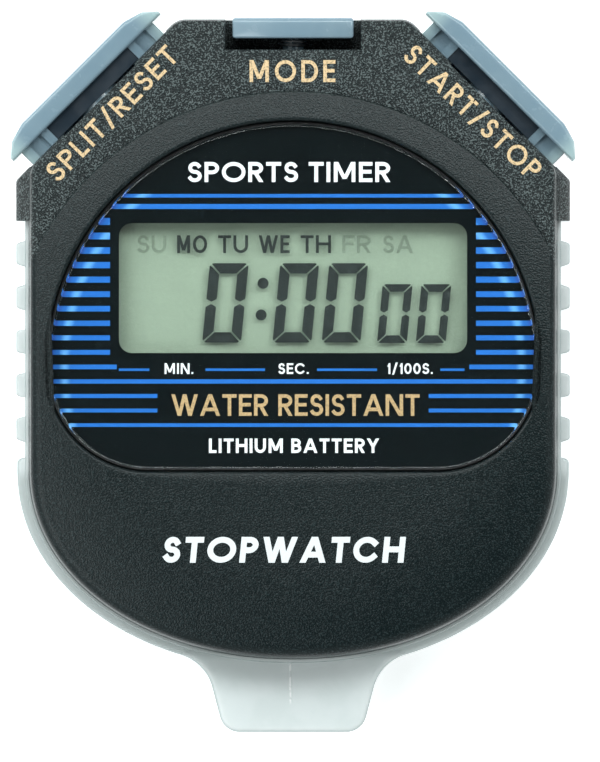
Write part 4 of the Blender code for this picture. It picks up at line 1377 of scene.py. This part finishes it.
# %% [markdown]
# ## Lettering
#
# The printed words are in a plain geometric face. Blender's own font is too thin for them, so the
# letters are made from strokes: each is a line or an arc in a unit box, given a pen width. Upright
# and slanted strokes are cut level at their ends, the others square. The strokes of a word overlap,
# and one exact Boolean of the word with itself merges them into clean letters.

# %% Letters as strokes
def bow(x, y, across, up, start, end):
    """Part of an ellipse, with a point about every nine degrees."""
    return arc((x, y), (across, up), start, end, max(5, int(abs(end - start) / 9)))


STEM_STROKE = [(0, 0), (0, 1)]
LETTERS = {  # width against height, and strokes in a unit box
    "A": (0.84, [[(0, 0), (0.5, 1)], [(1, 0), (0.5, 1)], [(0.2, 0.26), (0.8, 0.26)]]),
    "B": (0.60, [STEM_STROKE, np.vstack([[(0, 1)], bow(0.5, 0.76, 0.42, 0.24, 90, -90), [(0, 0.52)]]),
                 np.vstack([[(0, 0.52)], bow(0.5, 0.26, 0.5, 0.26, 90, -90), [(0, 0)]])]),
    "C": (0.84, [bow(0.52, 0.5, 0.52, 0.5, 42, 318)]),
    "D": (0.74, [STEM_STROKE, np.vstack([[(0, 1)], bow(0.42, 0.5, 0.58, 0.5, 90, -90), [(0, 0)]])]),
    "E": (0.54, [STEM_STROKE, [(0, 0), (1, 0)], [(0, 0.52), (0.9, 0.52)], [(0, 1), (1, 1)]]),
    "F": (0.52, [STEM_STROKE, [(0, 0.52), (0.9, 0.52)], [(0, 1), (1, 1)]]),
    "H": (0.70, [STEM_STROKE, [(1, 0), (1, 1)], [(0, 0.52), (1, 0.52)]]),
    "I": (0.0, [STEM_STROKE]),
    "L": (0.46, [STEM_STROKE, [(0, 0), (1, 0)]]),
    "M": (0.92, [[(0.04, 0), (0.04, 1)], [(0.96, 0), (0.96, 1)], [(0.06, 1), (0.5, 0.08)],
                 [(0.94, 1), (0.5, 0.08)]]),
    "N": (0.74, [STEM_STROKE, [(1, 0), (1, 1)], [(0.04, 1), (0.96, 0)]]),
    "O": (0.94, [bow(0.5, 0.5, 0.5, 0.5, 0, 360)]),
    "P": (0.58, [STEM_STROKE, np.vstack([[(0, 1)], bow(0.48, 0.74, 0.52, 0.26, 90, -90), [(0, 0.48)]])]),
    "R": (0.60, [STEM_STROKE, np.vstack([[(0, 1)], bow(0.48, 0.74, 0.50, 0.26, 90, -90), [(0, 0.48)]]),
                 [(0.98, 0), (0.42, 0.5)]]),
    "S": (0.56, [np.vstack([bow(0.5, 0.755, 0.44, 0.245, 28, 262), bow(0.5, 0.255, 0.5, 0.255, 84, -150)])]),
    "T": (0.60, [[(0.5, 0), (0.5, 1)], [(0, 1), (1, 1)]]),
    "U": (0.68, [np.vstack([[(0, 1)], bow(0.5, 0.4, 0.5, 0.4, 180, 360), [(1, 1)]])]),
    "W": (1.12, [[(0.27, 0), (0, 1)], [(0.27, 0), (0.5, 1)], [(0.73, 0), (0.5, 1)], [(0.73, 0), (1, 1)]]),
    "Y": (0.72, [[(0.5, 0), (0.5, 0.5)], [(0.5, 0.42), (0, 1)], [(0.5, 0.42), (1, 1)]]),
    "/": (0.46, [[(0, -0.08), (1, 1.08)]]),
    ".": (0.0, [[(0, 0), (0, 0.001)]]),
    "1": (0.26, [[(1, 0), (1, 1)], [(0, 0.72), (0.9, 0.97)]]),
    "0": (0.60, [bow(0.5, 0.5, 0.5, 0.5, 0, 360)]),
}
print("letters:", "".join(LETTERS))


# %% Sides of a stroke
def stroke_sides(path, pen, size):
    """The left and right sides of one stroke, size wide and tall in all. Steep straight strokes are
    cut level: half their level width is pen / (2 sin slope). Others are offset by half the pen
    along mitred normals."""
    path = np.array(path, float)
    spot = pen / 2 + path * (size - pen)
    if len(path) == 2 and abs(np.diff(spot[:, 1])[0]) > 0.6 * abs(np.diff(spot[:, 0])[0]):
        if path[0, 1] > path[1, 1]:
            path, spot = path[::-1], spot[::-1]
        spot[:, 1] = np.where(path[:, 1] <= 0, np.minimum(spot[:, 1] - pen / 2, 0),
                              np.where(path[:, 1] >= 1, spot[:, 1] + pen / 2, spot[:, 1]))
        if path[1, 1] - path[0, 1] < 0.01:
            spot[:, 1] = (0, pen)
        rise, go = spot[1, 1] - spot[0, 1], spot[1, 0] - spot[0, 0]
        level = np.array([pen / 2 * math.hypot(rise, go) / rise, 0])
        return spot - level, spot + level, False
    closed = np.allclose(spot[0], spot[-1])
    if closed:
        spot = spot[:-1]
        way = np.roll(spot, -1, 0) - np.roll(spot, 1, 0)
    else:
        first, last = spot[0] - spot[1], spot[-1] - spot[-2]
        spot[0] += first / np.linalg.norm(first) * pen / 2
        spot[-1] += last / np.linalg.norm(last) * pen / 2
        step = np.diff(spot, axis=0)
        step /= np.linalg.norm(step, axis=1)[:, None]
        way = np.vstack([step[:1], step[:-1] + step[1:], step[-1:]])
    way /= np.linalg.norm(way, axis=1)[:, None]
    side = np.column_stack([-way[:, 1], way[:, 0]]) * pen / 2
    return spot + side, spot - side, closed


upright_side = stroke_sides([(0, 0), (0, 1)], 0.4, np.array([0.4, 2.0]))[0]
print("an I with its ends inside 2 mm is", round(float(np.ptp(upright_side[:, 1])), 2), "mm tall")


# %% Words from letters
SPACE = 0.25  # width of a space against the height of the letters


def word(text, height, pen, width, middle, turn=0.0, gap=0.2, lean=0.0):
    """The sides of every stroke of a word fitted to a width, turned about its middle point."""
    inner = sum(LETTERS[c][0] * height for c in text if c != " ")
    narrow = sum(pen for c in text if c in "I.")
    fixed = narrow + gap * height * (len(text) - 1) + SPACE * height * text.count(" ")
    stretch = (width - fixed) / inner
    c, s = math.cos(math.radians(turn)), math.sin(math.radians(turn))
    x, strokes = -width / 2, []
    for letter in text:
        if letter == " ":
            x += (SPACE + gap) * height
            continue
        share, paths = LETTERS[letter]
        across = max(pen, share * height * stretch)
        for path in paths:
            left, right, closed = stroke_sides(path, pen, np.array([across, height]))
            sides = []
            for side in (left, right):
                flat = side + (x, -height / 2)
                flat[:, 0] += flat[:, 1] * lean
                sides.append(flat @ np.array([(c, s), (-s, c)]) + middle)
            strokes.append((*sides, closed))
        x += across + gap * height
    return strokes


def printed(strokes, surface, film=FILM):
    """Thin closed bodies of ink over a surface given as height against place, merged into clean
    letters."""
    shapes = []
    for left, right, closed in strokes:
        under = [np.column_stack([side, surface(side)]) for side in (right, left, left, right)]
        rows = np.stack(under, 1)
        rows[:, 2:, 2] += film
        shapes.append(ring(rows) if closed else solid(rows))
    far_away = brick((200, 200, 0), (201, 201, 1))  # cuts nothing: the step is there to merge the strokes
    return boolean(mesh_of("print", together(*shapes)), "DIFFERENCE", far_away, merge_self=True)


print("a word of", len(word("MODE", 2.46, 0.40, 9.7, (0, 0))), "strokes")


# %% [markdown]
# Words on the case follow its surface, since the height of the face is already a function of the
# place. Words on the dial are flat. The gold words name what the buttons do.

# %% Words on the case
INK_SINKS = 0.004  # printed words reach this far into the surface, so no gap shows under them


def on_case(spot):
    """The height at which words on the case start."""
    return face_height(spot) - INK_SINKS


button_words = (word("MODE", 2.46, 0.40, 9.7, (-0.1, 33.7), gap=0.24)
                + word("SPLIT/RESET", 2.30, 0.37, 19.5, (-20.3, 28.95), turn=45.8, gap=0.20)
                + word("START/STOP", 2.30, 0.37, 19.9, (20.15, 29.1), turn=-44.0, gap=0.22))
put("case_words_gold", printed(button_words, on_case), GOLD)
name_word = word("STOPWATCH", 2.9, 0.66, 27.0, (-1.0, -19.9), gap=0.16, lean=0.1)
put("case_word_white", printed(name_word, on_case), WHITE)


# %% Words on the dial
def on_plate(spot):
    """The height at which words on the dial start, the same everywhere."""
    return np.full(len(spot), PLATE_TOP)


white_words = (word("SPORTS TIMER", 2.25, 0.42, 22.7, (-0.45, 22.4), gap=0.14)
               + word("LITHIUM BATTERY", 1.62, 0.32, 19.05, (0.1, -8.26), gap=0.15)
               + word("MIN.", 1.2, 0.21, 3.25, (-12.8, 0.38), gap=0.17)
               + word("SEC.", 1.2, 0.21, 3.4, (0.05, 0.38), gap=0.16)
               + word("1/100S.", 1.2, 0.21, 5.1, (13.1, 0.38), gap=0.16))
put("dial_words_white", printed(white_words, on_plate), WHITE)
gold_words = word("WATER RESISTANT", 2.42, 0.39, 27.8, (0.28, -3.7), gap=0.11)
put("dial_words_gold", printed(gold_words, on_plate), PLATE_GOLD)


# %% [markdown]
# ## Display
#
# A reflective display shows dark segments that float a little above a grey-green backing and drop a
# shadow on it. So the segments are thin prisms between the two panes of glass, above the reflector.
# Each digit is a 0 of six bars with mitred ends. The days of the week that are off show faintly.

# %% Display segments
SEGMENT_LEVEL = 14.85
SEGMENT_THICK = 0.04
LEAN = math.tan(math.radians(5.6))


def zero_segments(left, bottom, width, height, thick, gap=0.13, cut=0.36, point=0.32):
    """The six bars of a 0. Each corner is a mitre with a gap, its tip cut off, and the upright bars
    end in points at the middle. A point at height y leans to the right by y tan(angle)."""
    tip = (cut - gap) / 2
    top = [(cut, height), (width - cut, height), (width - tip - gap, height - tip),
           (width - thick - gap, height - thick), (thick + gap, height - thick), (tip + gap, height - tip)]
    upper = [(0, height - cut), (tip, height - tip - gap), (thick, height - thick - gap),
             (thick, height / 2 + gap + point), (thick / 2, height / 2 + gap), (0, height / 2 + gap + point)]
    top, upper = np.array(top), np.array(upper)
    lower = upper * (1, -1) + (0, height)
    right = [bar * (-1, 1) + (width, 0) for bar in (upper, lower)]
    bars = [top, top * (1, -1) + (0, height), upper, lower, *right]
    return [np.column_stack([left + b[:, 0] + b[:, 1] * LEAN, bottom + b[:, 1]]) for b in bars]


print("a zero has", len(zero_segments(0, 0, 4.35, 8.9, 1.16)), "bars")

# %% Digits
LARGE_DIGITS, SMALL_DIGITS = (-10.19, -2.30, 3.20), (9.41, 13.75)  # left edges
COLON = ((-3.36, 9.95), (-3.58, 6.4))


def display_digits():
    """All bars and the colon's two dots as thin prisms."""
    bars = []
    for left in LARGE_DIGITS:
        bars += zero_segments(left, 3.30, 4.35, 8.9, 1.16)
    for left in SMALL_DIGITS:
        bars += zero_segments(left, 3.25, 3.35, 6.6, 0.86, gap=0.11, cut=0.28, point=0.25)
    bars += [arc(at, 0.62, 0, 345, 24) for at in COLON]
    return together(*(slab(bar, SEGMENT_LEVEL, SEGMENT_LEVEL + SEGMENT_THICK) for bar in bars))


put("display_digits", display_digits(), DARK_SEGMENT)

# %% Days of the week
DAYS_ON = {"MO": (-13.05, -9.63), "TU": (-8.4, -5.04), "WE": (-3.85, -0.37), "TH": (0.85, 4.26)}
DAYS_OFF = {"SU": (-17.47, -14.22), "FR": (5.54, 8.74), "SA": (10.08, 13.44)}
DAYS_LEVEL = 14.33


def on_glass(spot):
    """The height at which the display's letters start, the same everywhere."""
    return np.full(len(spot), SEGMENT_LEVEL)


def weekdays(days):
    """The strokes of each day's two letters, fitted between its left and right ends."""
    strokes = []
    for text, (left, right) in days.items():
        strokes += word(text, 2.0, 0.33, right - left, ((left + right) / 2, DAYS_LEVEL), gap=0.13)
    return strokes


put("display_days", printed(weekdays(DAYS_ON), on_glass, SEGMENT_THICK), DARK_SEGMENT)
put("display_days_off", printed(weekdays(DAYS_OFF), on_glass, SEGMENT_THICK), GHOST_SEGMENT)


# %% [markdown]
# ## Finishes for the pieces kept from the frame
#
# Everything inside, and the small metal parts, keep the frame's own mesh. Each gets the finish of
# its material slot instead of a flat colour.

# %% Finishes by slot
FINISHES = {"black_case": BLACK, "milky_case": MILKY, "grey_button": BUTTON, "lens": LENS,
            "dial_print": DIAL, "display_glass": POLARISER, "reflector": REFLECTOR,
            "contact_rubber": PINK_RUBBER, "white_plastic": WHITE_PLASTIC, "rubber": RUBBER,
            "board": BOARD, "epoxy": EPOXY, "steel": STEEL, "brass": BRASS, "ceramic": CERAMIC}
for part in frame["record"]["subparts"]:
    node = frame["nodes"][part["node"]]
    node.data.materials.clear()
    node.data.materials.append(FINISHES[part["material_slot"]])


# %% [markdown]
# ## Floor
#
# A studio table for small goods is often lit from below, which keeps it white and the shadow on it
# faint. The floor is a pale disc that gives off a little light of its own. It isn't part of the
# watch.

# %% Floor
FLOOR_RADIUS, FLOOR_LEVEL = 1500.0, -0.01
FLOOR_GLOW = 0.50

floor_finish = Finish("pale floor", (0.90, 0.905, 0.91), 0.7)
floor_finish.shader.inputs["Emission Color"].default_value = (1.0, 1.0, 1.0, 1.0)
floor_finish.shader.inputs["Emission Strength"].default_value = FLOOR_GLOW
floor_cloud = floor_finish.between(floor_finish.noise(40.0), 0.3, 0.7, 0.0, 0.3)
floor_finish.tint(floor_cloud, (0.92, 0.92, 0.92))
edge = arc((0, 0), FLOOR_RADIUS, 0, 356.25, 96)
floor_mesh = mesh_of("floor", (levelled(edge, FLOOR_LEVEL), [list(range(len(edge)))]))
floor_mesh.materials.append(floor_finish.material)
floor = bpy.data.objects.new("floor", floor_mesh)
bpy.context.scene.collection.objects.link(floor)
print("floor:", 2 * FLOOR_RADIUS * MM, "m across")

# %% [markdown]
# The finished model must fill the same box as the frame.
